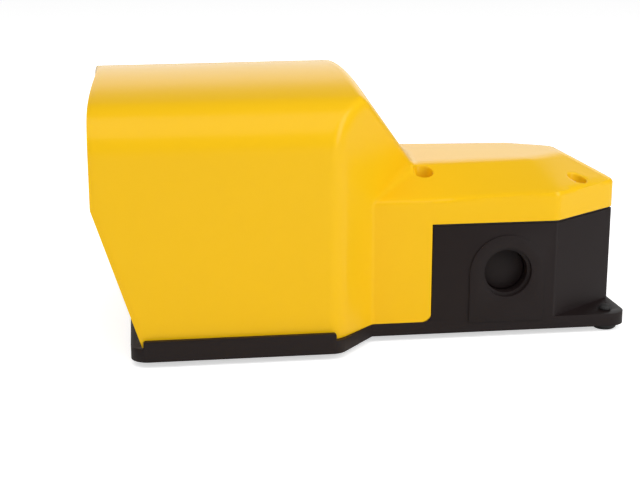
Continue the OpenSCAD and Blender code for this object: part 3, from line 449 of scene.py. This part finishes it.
class HoodForm:
    """The moulding's outside, as a distance along rays from its middle plane.

    The hood is the least of an arch, a sloping rear face and two upright angled walls. The box
    cover is the least of its sides, cut corners, rear wall, shoulders and flat top. The whole is
    the greater of the two, with every meeting of faces rounded.
    """

    def __init__(self, settings):
        self.mouth, _, self.foot = HOOD_LOW
        self.rear, self.half, self.crest = HOOD_HIGH
        self.crown = settings.crown_radius
        self.round = settings.shoulder_radius

        # Mouth: heights where the rake ends and the lean begins, and how far each one goes
        self.knee = 71 * MM
        self.brow = 104 * MM
        self.setback = 20 * MM
        self.lean = 3.5 * MM
        self.lean_power = 3.5

        # Box cover: sides, cut corners, heights, and half width of the flat top at three places
        self.half_box = 56 * MM
        self.cut = (36 * MM, 26.6 * MM)
        self.x_cut = self.rear - self.cut[0]
        self.flat = 79 * MM
        self.shoulder = 68.7 * MM
        self.shoulder_front = 66.7 * MM
        self.top_half = (28 * MM, 22.6 * MM, 12 * MM)
        self.top_flare = 0.095
        self.hip_inset = (8 * MM, 4 * MM)

        # Angled walls and sloping face; the crest droops from the slope's top to the mouth
        self.neck = 1.0 * MM
        self.wall_angle = math.radians(46.3)
        self.slope_angle = math.radians(54.5)
        self.slope_foot = 25.5 * MM
        self.slope_crown = 1.2
        self.slope_top = self.slope_foot - (self.crest - self.flat) / math.tan(self.slope_angle)
        self.droop = 1.2 * MM
        top_front = self.neck + (self.half_box - self.top_half[0]) / math.tan(self.wall_angle)
        self.top_x = (top_front, self.rear - 39.5 * MM, self.rear - 19.5 * MM)

        # Skirt on each side of the box
        self.skirt_end = self.neck + 27.6 * MM
        self.skirt_round = 3.2 * MM
        self.skirt_fade = 12 * MM

        # Widths over which faces blend; hood and cover blend more widely from low to high
        self.hood_blend = 5 * MM
        self.join_blend = (0.8 * MM, 6.5 * MM)
        self.join_height = (68 * MM, 76 * MM)
        self.band_blend = 1.2 * MM
        self.hip_blend = 1.5 * MM
        self.top_blend = 2.5 * MM
        self.edge_blend = 1.8 * MM

        # Sheet: height of the fan of rays, its mean length, where the sections start to differ,
        # and the upright axis that the rear's rays start from
        self.ray_z = 60 * MM
        self.ray_length = 62 * MM
        self.straight = -32 * MM
        self.axis_x = self.skirt_end + 16 * MM

    def mouth_x(self, z):
        """Edge of the mouth at height z: raked up to the knee, upright, then leaning back."""
        raked = self.mouth + self.setback * (self.knee - z) / (self.knee - self.foot)
        share = np.clip((z - self.brow) / (self.crest - self.brow), 0, 1)
        return np.where(z < self.knee, raked, self.mouth + self.lean * share ** self.lean_power)

    def arch(self, z0, dy, dz):
        """Distance in the cross-section from (0, z0) to the side wall, corner arc or crown.

        Along the unit way (dy, dz), an arc's distance is the greater root of its circle's equation.
        """
        dy = np.abs(dy) + 1e-12
        side = self.half / dy
        centre_y = self.half - self.round
        low = self.crest - self.crown
        centre_z = low + math.sqrt((self.crown - self.round) ** 2 - centre_y ** 2)
        b = dz * (z0 - low)
        crown = -b + np.sqrt(np.maximum(b * b - (z0 - low) ** 2 + self.crown ** 2, 0))
        b = -dy * centre_y + dz * (z0 - centre_z)
        c = centre_y ** 2 + (z0 - centre_z) ** 2 - self.round ** 2
        corner = -b + np.sqrt(np.maximum(b * b - c, 0))
        reach = centre_y * self.crown / (self.crown - self.round)
        use_side = z0 + side * dz <= centre_z
        use_crown = crown * dy <= reach
        return np.where(use_side, side, np.where(use_crown, crown, corner))

    @staticmethod
    def plane(origin, way, normal, through):
        """Distance along a ray to a plane, which is given by its normal and a point on it."""
        normal = np.array(normal, float)
        normal = normal / np.linalg.norm(normal)
        facing = way @ normal
        gap = (np.array(through, float) - origin) @ normal
        return meeting(facing, gap)

    def slope(self, origin, way):
        """Distance to the sloping rear face, which falls away sideways by y * y / slope_crown."""
        normal = np.array((math.sin(self.slope_angle), 0, math.cos(self.slope_angle)))
        facing = way @ normal
        gap = (np.array((self.slope_foot, 0, self.flat)) - origin) @ normal
        bend = 4 * gap * way[..., 1] ** 2 / self.slope_crown
        root = np.sqrt(np.maximum(facing ** 2 + bend, 0))
        return np.where(facing > GRAZING, 2 * gap / np.maximum(facing + root, GRAZING), FAR)

    def reach(self, origin, way):
        """Distance from each origin along each way (unit vectors) to the outside."""
        mirrored = way * np.array([1.0, -1.0, 1.0])
        near = np.where(way[..., 1:2] > 0, way, mirrored)
        across = np.hypot(near[..., 1], near[..., 2]) + 1e-12
        arch = self.arch(origin[..., 2], near[..., 1] / across, near[..., 2] / across) / across
        slope = self.slope(origin, near)
        angled = self.plane(
            origin, near, (math.sin(self.wall_angle), math.cos(self.wall_angle), 0),
            (self.neck, self.half_box, 0))
        hood = smooth_min(arch, slope, self.hood_blend)
        hood = smooth_min(hood, angled, self.hood_blend)
        cover = self.cover(origin, near)
        z_hit = origin[..., 2] + np.maximum(hood, cover) * near[..., 2]
        return smooth_max(hood, cover, np.interp(z_hit, self.join_height, self.join_blend))

    def cover(self, origin, way):
        """Distance to the box cover: sides, cut corners, rear wall, shoulders and flat top."""
        side = self.plane(origin, way, (0, 1, 0), (0, self.half_box, 0))
        corner = self.plane(
            origin, way, (self.cut[1], self.cut[0], 0), (self.x_cut, self.half_box, 0))
        back = self.plane(origin, way, (1, 0, 0), (self.rear, 0, 0))
        band = smooth_min(side, corner, self.band_blend)
        band = smooth_min(band, back, self.band_blend)

        # The shoulder's slope changes along x, so its distance settles over four rounds
        shoulder = side
        for _ in range(4):
            x = origin[..., 0] + shoulder * way[..., 0]
            half_top = np.interp(x, self.top_x, self.top_half)
            half_top = half_top + np.maximum(self.top_x[0] - x, 0) * self.top_flare
            run = self.half_box - half_top
            low = np.interp(x, (self.top_x[0], self.x_cut), (self.shoulder_front, self.shoulder))
            rise = self.flat - low
            facing = way[..., 1] * rise + way[..., 2] * run
            gap = (self.half_box - origin[..., 1]) * rise + (low - origin[..., 2]) * run
            shoulder = meeting(facing, gap)

        # The hip rises from the cut corner to a point a little inside the flat top's corner
        rise = self.flat - self.shoulder
        out_x, out_y = np.array((self.cut[1], self.cut[0])) / math.hypot(*self.cut)
        run_x = self.x_cut - self.top_x[1] - self.hip_inset[0]
        run_y = self.half_box - self.top_half[1] + self.hip_inset[1]
        hip = self.plane(
            origin, way, (rise * out_x, rise * out_y, run_x * out_x + run_y * out_y),
            (self.x_cut, self.half_box, self.shoulder))
        rear = self.plane(
            origin, way, (rise, 0, self.rear - self.top_x[2]), (self.rear, 0, self.shoulder))
        top = self.plane(origin, way, (0, 0, 1), (0, 0, self.flat))
        roof = smooth_min(shoulder, hip, self.hip_blend)
        roof = smooth_min(roof, rear, self.hip_blend)
        roof = smooth_min(roof, top, self.top_blend)
        return smooth_min(band, roof, self.edge_blend)


def section_rays(form, step):
    """Rays of one cross-section, from the near foot over the top to the far foot.

    Level rays at each height below ray_z, then a fan through half a turn, then level rays again.
    Returns the origin heights, the fan angles (pi on the near side and 0 on the far side) and
    the number of rays that are lower than the cover's edge.
    """
    bend = form.foot + form.skirt_round
    under = np.concatenate([
        np.linspace(form.foot, bend, 9)[:-1], np.linspace(bend, COVER_EDGE, 15)[:-1]])
    low = np.concatenate([under, np.linspace(COVER_EDGE, form.ray_z, 4)])
    turns = int(math.pi * form.ray_length / step)
    fan = np.linspace(math.pi, 0, turns + 1)[1:-1]
    heights = np.concatenate([low, np.full(len(fan), form.ray_z), low[::-1]])
    angles = np.concatenate([np.full(len(low), math.pi), fan, np.zeros(len(low))])
    return heights, angles, len(under)


def hood_sheet(form, step):
    """Outside of the moulding as one sheet of points and quads.

    Along the hood and the front of the cover the sheet is a row of cross-sections, whose first
    one follows the mouth's edge. The rear of the cover is a half-dome of rays about an upright
    axis, whose first and last meridians are the two halves of the last cross-section.
    """
    heights, angles, edge = section_rays(form, step)
    shares = np.linspace(0, 1, MOUTH_ROWS)
    columns = np.concatenate([
        np.arange(form.straight + step, form.skirt_end, step), [form.skirt_end],
        np.arange(form.skirt_end + step, form.axis_x, step), [form.axis_x]])
    way = np.stack([np.zeros_like(angles), np.cos(angles), np.sin(angles)], -1)
    origin = np.stack([np.full_like(angles, form.straight), np.zeros_like(angles), heights], -1)
    rim = origin + way * form.reach(origin, way)[:, None]
    start = form.mouth_x(rim[:, 2])
    rows = []
    for share in shares:
        row = rim.copy()
        row[:, 0] = start + share * (form.straight - start)
        rows.append(row)
    for x in columns:
        origin[:, 0] = x
        rows.append(origin + way * form.reach(origin, way)[:, None])
    front = np.array(rows)
    fall = np.clip((form.slope_top - front[..., 0]) / (form.slope_top - form.mouth), 0, 1)
    high = np.clip((front[..., 2] - form.knee) / (form.crest - form.knee), 0, 1)
    front[..., 2] -= form.droop * fall * high
    skirt_row = len(shares) + int(np.argmin(np.abs(columns - form.skirt_end)))
    round_skirt(form, front, len(shares), skirt_row)
    n_rows, n_cols = front.shape[:2]
    quads = grid_faces(n_rows, n_cols)
    row_of, col_of = np.divmod(quads[:, 0], n_cols)
    quads = quads[(row_of < skirt_row) | ((col_of >= edge) & (col_of < n_cols - 1 - edge))]

    # Rear half-dome: meridians turn from -y through +x to +y
    half = (n_cols + 1) // 2
    meridian_h = heights[edge:half]
    lift = np.pi - angles[edge:half]
    turns = np.linspace(-math.pi / 2, math.pi / 2, MERIDIANS)
    theta, rise = np.meshgrid(turns, lift, indexing="ij")
    way = np.stack([np.cos(rise) * np.cos(theta), np.cos(rise) * np.sin(theta), np.sin(rise)], -1)
    origin = np.zeros_like(way)
    origin[..., 0] = form.axis_x
    origin[..., 2] = np.broadcast_to(meridian_h, theta.shape)
    rear = origin + way * form.reach(origin, way)[..., None]
    rear_quads = grid_faces(*rear.shape[:2], start=front.size // 3)
    points = np.vstack([front.reshape(-1, 3), rear.reshape(-1, 3)])
    return points, quads, rear_quads


def round_skirt(form, front, first_row, last_row):
    """Draws the skirt's lowest rows forwards, so that its lower rear corner is an arc."""
    radius = form.skirt_round
    fade = form.skirt_end - form.skirt_fade
    rows = front[first_row:last_row + 1]
    x, z = rows[..., 0], rows[..., 2]
    drop = np.clip(radius - (z - form.foot), 0, radius)
    back = radius - np.sqrt(radius ** 2 - drop ** 2)
    rows[..., 0] = x - back * np.clip((x - fade) / (form.skirt_end - fade), 0, 1)


def four_places(node):
    """Centres of the four like solids of a CAD node, one in each quarter of its plan."""
    mesh = frame["nodes"][node].data
    points = np.zeros(len(mesh.vertices) * 3)
    mesh.vertices.foreach_get("co", points)
    points = points.reshape(-1, 3)
    x_mid = (points[:, 0].min() + points[:, 0].max()) / 2
    places = []
    for side_x, side_y in ((-1, -1), (-1, 1), (1, -1), (1, 1)):
        mine = points[((points[:, 0] - x_mid) * side_x > 0) & (points[:, 1] * side_y > 0)]
        places.append((mine.min(0) + mine.max(0)) / 2)
    return places


def turned(name, profile, centre):
    """A surface of revolution about an upright axis.

    profile lists (radius, height), where a height may be an array of one height per side.
    """
    angle = np.linspace(0, 2 * math.pi, ROUND, endpoint=False)
    rows = [
        np.stack([
            centre[0] + radius * np.cos(angle), centre[1] + radius * np.sin(angle),
            np.broadcast_to(height, ROUND)], -1)
        for radius, height in profile]
    quads = grid_faces(len(rows), ROUND, closed=True)
    piece = new_piece(name, np.concatenate(rows), quads.tolist())
    clean(piece)
    return piece


def roof_at(tree, x, y):
    """Height of the moulding's outside at a point of the plan."""
    return tree.ray_cast(Vector((x, y, ABOVE)), DOWN)[0].z


def roof_over(tree, centre, radius):
    """Heights of the moulding's outside on a circle around a centre."""
    return np.array([
        roof_at(tree, centre[0] + radius * math.cos(angle), centre[1] + radius * math.sin(angle))
        for angle in np.linspace(0, 2 * math.pi, ROUND, endpoint=False)])


def cut_wells(hood, tree):
    """Adds a post under each screw well and cuts the well, with its mouth rounded."""
    for place in four_places("cover_screws"):
        under = roof_over(tree, place, POST_RADIUS) - ROOF_DEPTH
        post = turned("post", [
            (0, POST_FOOT), (POST_RADIUS, POST_FOOT), (POST_RADIUS, under), (0, under.mean())],
            place)
        mouth = roof_over(tree, place, WELL_RADIUS + 0.3 * MM)
        bore = turned("bore", [
            (0, WELL_FLOOR), (WELL_RADIUS, WELL_FLOOR), (WELL_RADIUS, mouth - 0.7 * MM),
            (WELL_RADIUS + 0.1 * MM, mouth - 0.35 * MM), (WELL_RADIUS + 0.3 * MM, mouth - 0.1 * MM),
            (WELL_RADIUS + 0.7 * MM, mouth + 0.1 * MM), (WELL_RADIUS + 0.7 * MM, 90 * MM),
            (0, 90 * MM)], place)
        hole = turned("hole", [
            (0, 50 * MM), (SCREW_HOLE, 50 * MM), (SCREW_HOLE, WELL_FLOOR + MM),
            (0, WELL_FLOOR + MM)], place)
        for tool, way in ((post, "UNION"), (bore, "DIFFERENCE"), (hole, "DIFFERENCE")):
            cut = hood.modifiers.new(tool.name, "BOOLEAN")
            cut.object = tool
            cut.operation = way
            cut.solver = "MANIFOLD"
            baked(hood)
            bpy.data.objects.remove(tool)


def build_hood(settings):
    """The yellow moulding: sheet, wall, rounded edges and screw wells."""
    form = HoodForm(settings)
    points, quads, rear_quads = hood_sheet(form, settings.grid_step)
    hood = new_piece("hood_shell", points, quads.tolist() + rear_quads.tolist())
    work = bmesh.new()
    work.from_mesh(hood.data)
    bmesh.ops.remove_doubles(work, verts=work.verts, dist=2e-5)
    bmesh.ops.delete(work, geom=[v for v in work.verts if not v.link_faces], context="VERTS")
    bmesh.ops.recalc_face_normals(work, faces=work.faces)
    top = max(work.faces, key=lambda f: f.calc_center_median().z)
    if top.normal.z < 0:
        bmesh.ops.reverse_faces(work, faces=work.faces)
    tree = BVHTree.FromBMesh(work)
    work.to_mesh(hood.data)
    work.free()
    wall = hood.modifiers.new("wall", "SOLIDIFY")
    wall.thickness = settings.wall
    wall.offset = -1
    lip = hood.modifiers.new("lip", "BEVEL")
    lip.width = settings.lip_radius
    lip.segments = 3
    lip.limit_method = "ANGLE"
    lip.angle_limit = math.radians(60)
    baked(hood)
    cut_wells(hood, tree)
    hood.data.materials.clear()
    hood.data.materials.append(finish_for("yellow_plastic"))
    smooth_by_angle(hood.data, 35.0)
    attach(hood, "base")
    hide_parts("hood_cover")
    return tree


def build_bulkhead(tree):
    """Cross wall of the cover over the box's front wall, its top edge inside the roof.

    A box whose upper face follows the roof: z = roof(y) - ROOF_DEPTH.
    """
    front, back, half, count = 22 * MM, 25 * MM, 54.3 * MM, 80
    across = np.linspace(-half, half, count)
    high = np.array([roof_at(tree, back, y) for y in across]) - ROOF_DEPTH
    low = np.full_like(across, COVER_EDGE)
    rows = [
        np.stack([np.full_like(across, x), across, z], -1)
        for x, z in ((front, low), (front, high), (back, high), (back, low), (front, low))]
    ends = [[row * count + last for row in range(4)] for last in (0, count - 1)]
    ends[1].reverse()
    quads = grid_faces(len(rows), count).tolist()
    wall = new_piece("hood_bulkhead", np.concatenate(rows), quads + ends)
    clean(wall)
    inner_part(wall)


def build_bosses():
    """The hood's screw bosses, each braced to the side by a rib."""
    bore_end = BOSS_TOP - 3 * MM
    profile = [
        (BOSS_BORE, BOSS_FOOT), (BOSS_RADIUS - 0.3 * MM, BOSS_FOOT),
        (BOSS_RADIUS, BOSS_FOOT + 0.3 * MM), (BOSS_RADIUS, BOSS_TOP - 0.6 * MM),
        (BOSS_RADIUS - 0.6 * MM, BOSS_TOP), (0, BOSS_TOP), (0, bore_end),
        (BOSS_BORE, bore_end), (BOSS_BORE, BOSS_FOOT)]
    for number, (x, y, _) in enumerate(four_places("hood_screws")):
        inner_part(turned(f"hood_boss_{number}", profile, (x, y)))
        side = math.copysign(1, y)
        rib = block(
            f"hood_rib_{number}",
            (x - RIB_HALF, y + side * 3 * MM, BOSS_FOOT + 0.2 * MM),
            (x + RIB_HALF, side * (HOOD_HIGH[1] - 1.5 * MM), BOSS_TOP - 0.4 * MM))
        clean(rib)
        inner_part(rib)


def block(name, low, high):
    """A box between two corners."""
    corners = np.array(list(itertools.product(*zip(low, high))))
    faces = [[0, 1, 3, 2], [4, 6, 7, 5], [0, 4, 5, 1], [2, 3, 7, 6], [0, 2, 6, 4], [1, 5, 7, 3]]
    return new_piece(name, corners, faces)


def inner_part(piece):
    """A part of the yellow moulding that is drawn as a piece of its own."""
    piece.data.materials.append(finish_for("yellow_plastic"))
    smooth_by_angle(piece.data, 35.0)
    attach(piece, "base")


def clean(piece):
    """Merges doubled points and points the faces outwards."""
    work = bmesh.new()
    work.from_mesh(piece.data)
    bmesh.ops.remove_doubles(work, verts=work.verts, dist=1e-7)
    bmesh.ops.recalc_face_normals(work, faces=work.faces)
    work.to_mesh(piece.data)
    work.free()


# ---------------------------------------------------------------- operators

class FOOT_OT_hood(bpy.types.Operator):
    """Build the yellow hood and box cover"""

    bl_idname = "foot_switch.hood"
    bl_label = "Build Hood"

    def execute(self, context):
        tree = build_hood(context.scene.foot_hood)
        build_bulkhead(tree)
        build_bosses()
        return {"FINISHED"}


class FOOT_OT_base(bpy.types.Operator):
    """Finish the black base, box and entry discs"""

    bl_idname = "foot_switch.base"
    bl_label = "Finish Base"

    def execute(self, context):
        settings = context.scene.foot_base
        dressed_copy("base_housing", settings.edge, "black_plastic", "base")
        dressed_copy("entry_discs", DISC_EDGE, "black_plastic", "base")
        return {"FINISHED"}


class FOOT_OT_pedal(bpy.types.Operator):
    """Finish the pedal and its tread"""

    bl_idname = "foot_switch.pedal"
    bl_label = "Finish Pedal"

    def execute(self, context):
        edge = context.scene.foot_base.edge
        dressed_copy("pedal", edge, "pedal_plastic", "pedal")
        dressed_copy("tread_pad", edge, "tread_rubber", "pedal")
        return {"FINISHED"}


class FOOT_OT_rubber(bpy.types.Operator):
    """Finish the feet, bumpers and gasket"""

    bl_idname = "foot_switch.rubber"
    bl_label = "Finish Rubber Parts"

    def execute(self, context):
        dressed_copy("rubber_feet", RUBBER_EDGE, "rubber", "base")
        dressed_copy("stop_buffers", RUBBER_EDGE, "rubber", "base")
        own_finish("cover_gasket", "rubber")
        own_finish("rod_seal", "rubber")
        return {"FINISHED"}


def coil(name, centre, low, high, mean_radius, wire, turns, sides=14, per_turn=40):
    """Helical spring of round wire with a closed, ground turn at each end.

    The wire's middle line is (R cos t, R sin t, z(t)), where z rises by one wire over each end
    turn and evenly between them; the section is a circle of the wire's radius square to it, and
    the ends are cut flat at the low and the high level.
    """
    steps = int((turns + 2) * per_turn)
    turn = np.arange(steps + 1) / per_turn
    height = high - low
    rise = height - 3 * wire
    z = np.where(
        turn < 1, wire * (0.5 + turn),
        np.where(turn > turns + 1, height - wire * (0.5 + turns + 2 - turn),
                 1.5 * wire + rise * (turn - 1) / turns))
    angle = 2 * math.pi * turn
    out = np.stack([np.cos(angle), np.sin(angle), np.zeros_like(angle)], -1)
    line = out * mean_radius + np.stack([np.zeros_like(z), np.zeros_like(z), z], -1)
    along = np.gradient(line, axis=0)
    along /= np.linalg.norm(along, axis=1, keepdims=True)
    up = np.cross(out, along)
    ring = np.arange(sides) * 2 * math.pi / sides
    points = line[:, None] + wire / 2 * (
        np.cos(ring)[None, :, None] * out[:, None] + np.sin(ring)[None, :, None] * up[:, None])
    cut = SPRING_GROUND * wire
    points[..., 2] = np.clip(points[..., 2], cut, height - cut)
    points = points.reshape(-1, 3) + np.array([centre[0], centre[1], low])
    faces = grid_faces(steps + 1, sides, closed=True).tolist()
    faces += [list(range(sides)), list(range(len(points) - 1, len(points) - 1 - sides, -1))]
    spring = new_piece(name, points, faces)
    clean(spring)
    return spring


class FOOT_OT_springs(bpy.types.Operator):
    """Build the pedal's return springs"""

    bl_idname = "foot_switch.springs"
    bl_label = "Build Springs"

    def execute(self, context):
        low, high = node_box("return_springs")
        radius = (high[0] - low[0]) / 2
        seat = float(low[2]) + SPRING_GAP
        for number, side in enumerate((-1, 1)):
            centre = ((low[0] + high[0]) / 2, side * (high[1] - radius))
            spring = coil(
                f"return_spring_{number}", centre, seat, high[2], radius - SPRING_WIRE / 2,
                SPRING_WIRE, SPRING_TURNS)
            spring.data.materials.append(finish_for("bright_steel"))
            smooth_by_angle(spring.data, 50.0)
            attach(spring, "base")
            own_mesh(spring)
            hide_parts("return_springs")
        return {"FINISHED"}


class FOOT_OT_works(bpy.types.Operator):
    """Finish the metal parts and the contact block"""

    bl_idname = "foot_switch.works"
    bl_label = "Finish Works"

    def execute(self, context):
        slots = {s["node"]: s["material_slot"] for s in frame["record"]["subparts"]}
        for node in frame["nodes"]:
            done = [m.name for m in frame["nodes"][node].data.materials if m]
            if not any(name.endswith(FINISH) for name in done):
                own_finish(node, slots[node])
        return {"FINISHED"}


class FOOT_OT_stage(bpy.types.Operator):
    """Set the floor, lamps, world and camera"""

    bl_idname = "foot_switch.stage"
    bl_label = "Build Stage"

    def execute(self, context):
        settings = context.scene.foot_stage
        build_floor(settings)
        build_lamps(settings)
        build_camera(settings)
        return {"FINISHED"}


def build_floor(settings):
    """A plain pale floor that shows white to the camera and keeps the object's shadow."""
    half = 4.0
    corners = np.array([[-half, -half, 0], [half, -half, 0], [half, half, 0], [-half, half, 0]])
    floor = new_piece("floor", corners, [[0, 1, 2, 3]])
    material = bpy.data.materials.new("floor_white")
    material.use_nodes = True
    tree = material.node_tree
    surface = tree.nodes["Principled BSDF"]
    surface.inputs["Base Color"].default_value = (0.9, 0.9, 0.9, 1)
    surface.inputs["Roughness"].default_value = 1.0
    surface.inputs["Specular IOR Level"].default_value = 0.0
    surface.inputs["Emission Color"].default_value = (1, 1, 1, 1)
    path = tree.nodes.new("ShaderNodeLightPath").outputs
    glow = reckon(tree, "MULTIPLY", path["Is Camera Ray"], settings.floor_glow)
    tree.links.new(glow, surface.inputs["Emission Strength"])
    floor.data.materials.append(material)


def area_lamp(name, power, size, place, target):
    """A rectangular lamp that faces a point."""
    lamp = bpy.data.lights.new(name, "AREA")
    lamp.shape = "RECTANGLE"
    lamp.size, lamp.size_y = size
    lamp.energy = power
    holder = bpy.data.objects.new(name, lamp)
    holder.location = place
    holder.rotation_euler = (Vector(target) - Vector(place)).to_track_quat("-Z", "Y").to_euler()
    bpy.context.scene.collection.objects.link(holder)


def build_lamps(settings):
    """A tall softbox at the right, one over the camera, a backdrop lamp and a white world."""
    for name, power, size, place, target in LAMPS:
        area_lamp(name, getattr(settings, power), size, place, target)
    world = bpy.data.worlds.new("studio")
    bpy.context.scene.world = world
    world.use_nodes = True
    tree = world.node_tree
    back = tree.nodes["Background"]
    path = tree.nodes.new("ShaderNodeLightPath").outputs
    ambient = settings.ambient
    seen = reckon(tree, "MAXIMUM", path["Is Camera Ray"], path["Is Transmission Ray"])
    white = reckon(tree, "MULTIPLY_ADD", seen, 1.0 - ambient, ambient)
    level = reckon(
        tree, "MULTIPLY_ADD", path["Is Glossy Ray"], settings.reflected - ambient, white)
    tree.links.new(level, back.inputs["Strength"])
    back.inputs["Color"].default_value = (1, 1, 1, 1)


def build_camera(settings):
    """A camera at a stated place, turned by its yaw and pitch, with no roll."""
    data = bpy.data.cameras.new("camera")
    data.lens = settings.lens
    data.sensor_width = 36.0
    data.clip_start = 0.01
    data.clip_end = 20.0
    camera = bpy.data.objects.new("camera", data)
    camera.location = settings.position
    camera.rotation_euler = (math.pi / 2 - settings.pitch, 0, -settings.yaw)
    bpy.context.scene.collection.objects.link(camera)
    bpy.context.scene.camera = camera


class FOOT_PT_panel(bpy.types.Panel):
    """Lists the foot switch's settings and builders."""

    bl_idname = "FOOT_PT_panel"
    bl_label = "Foot Switch"
    bl_space_type = "VIEW_3D"
    bl_region_type = "UI"
    bl_category = "Foot Switch"

    def draw(self, context):
        scene = context.scene
        for group in (scene.foot_hood, scene.foot_base, scene.foot_rubber, scene.foot_stage):
            box = self.layout.box()
            for key in group.__annotations__:
                box.prop(group, key)
        for operator in OPERATORS:
            self.layout.operator(operator.bl_idname)


SETTINGS = (HoodSettings, BaseSettings, RubberSettings, StageSettings)
OPERATORS = (
    FOOT_OT_hood, FOOT_OT_base, FOOT_OT_pedal, FOOT_OT_rubber, FOOT_OT_springs, FOOT_OT_works,
    FOOT_OT_stage)
POINTERS = {
    "foot_hood": HoodSettings, "foot_base": BaseSettings,
    "foot_rubber": RubberSettings, "foot_stage": StageSettings}


def register():
    for item in (*SETTINGS, *OPERATORS, FOOT_PT_panel):
        bpy.utils.register_class(item)
    for name, group in POINTERS.items():
        setattr(bpy.types.Scene, name, bpy.props.PointerProperty(type=group))


def unregister():
    for name in POINTERS:
        delattr(bpy.types.Scene, name)
    for item in reversed((*SETTINGS, *OPERATORS, FOOT_PT_panel)):
        bpy.utils.unregister_class(item)


def main():
    """Registers the add-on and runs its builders."""
    register()
    scene = bpy.context.scene
    scene.view_settings.view_transform = "Standard"
    moulded_skin_group()
    drawn_metal_group()
    for name in ("hood", "base", "pedal", "rubber", "springs", "works", "stage"):
        result = getattr(bpy.ops.foot_switch, name)()
        if result != {"FINISHED"}:
            raise RuntimeError(f"{name} did not finish")


if __name__ == "__main__":
    main()
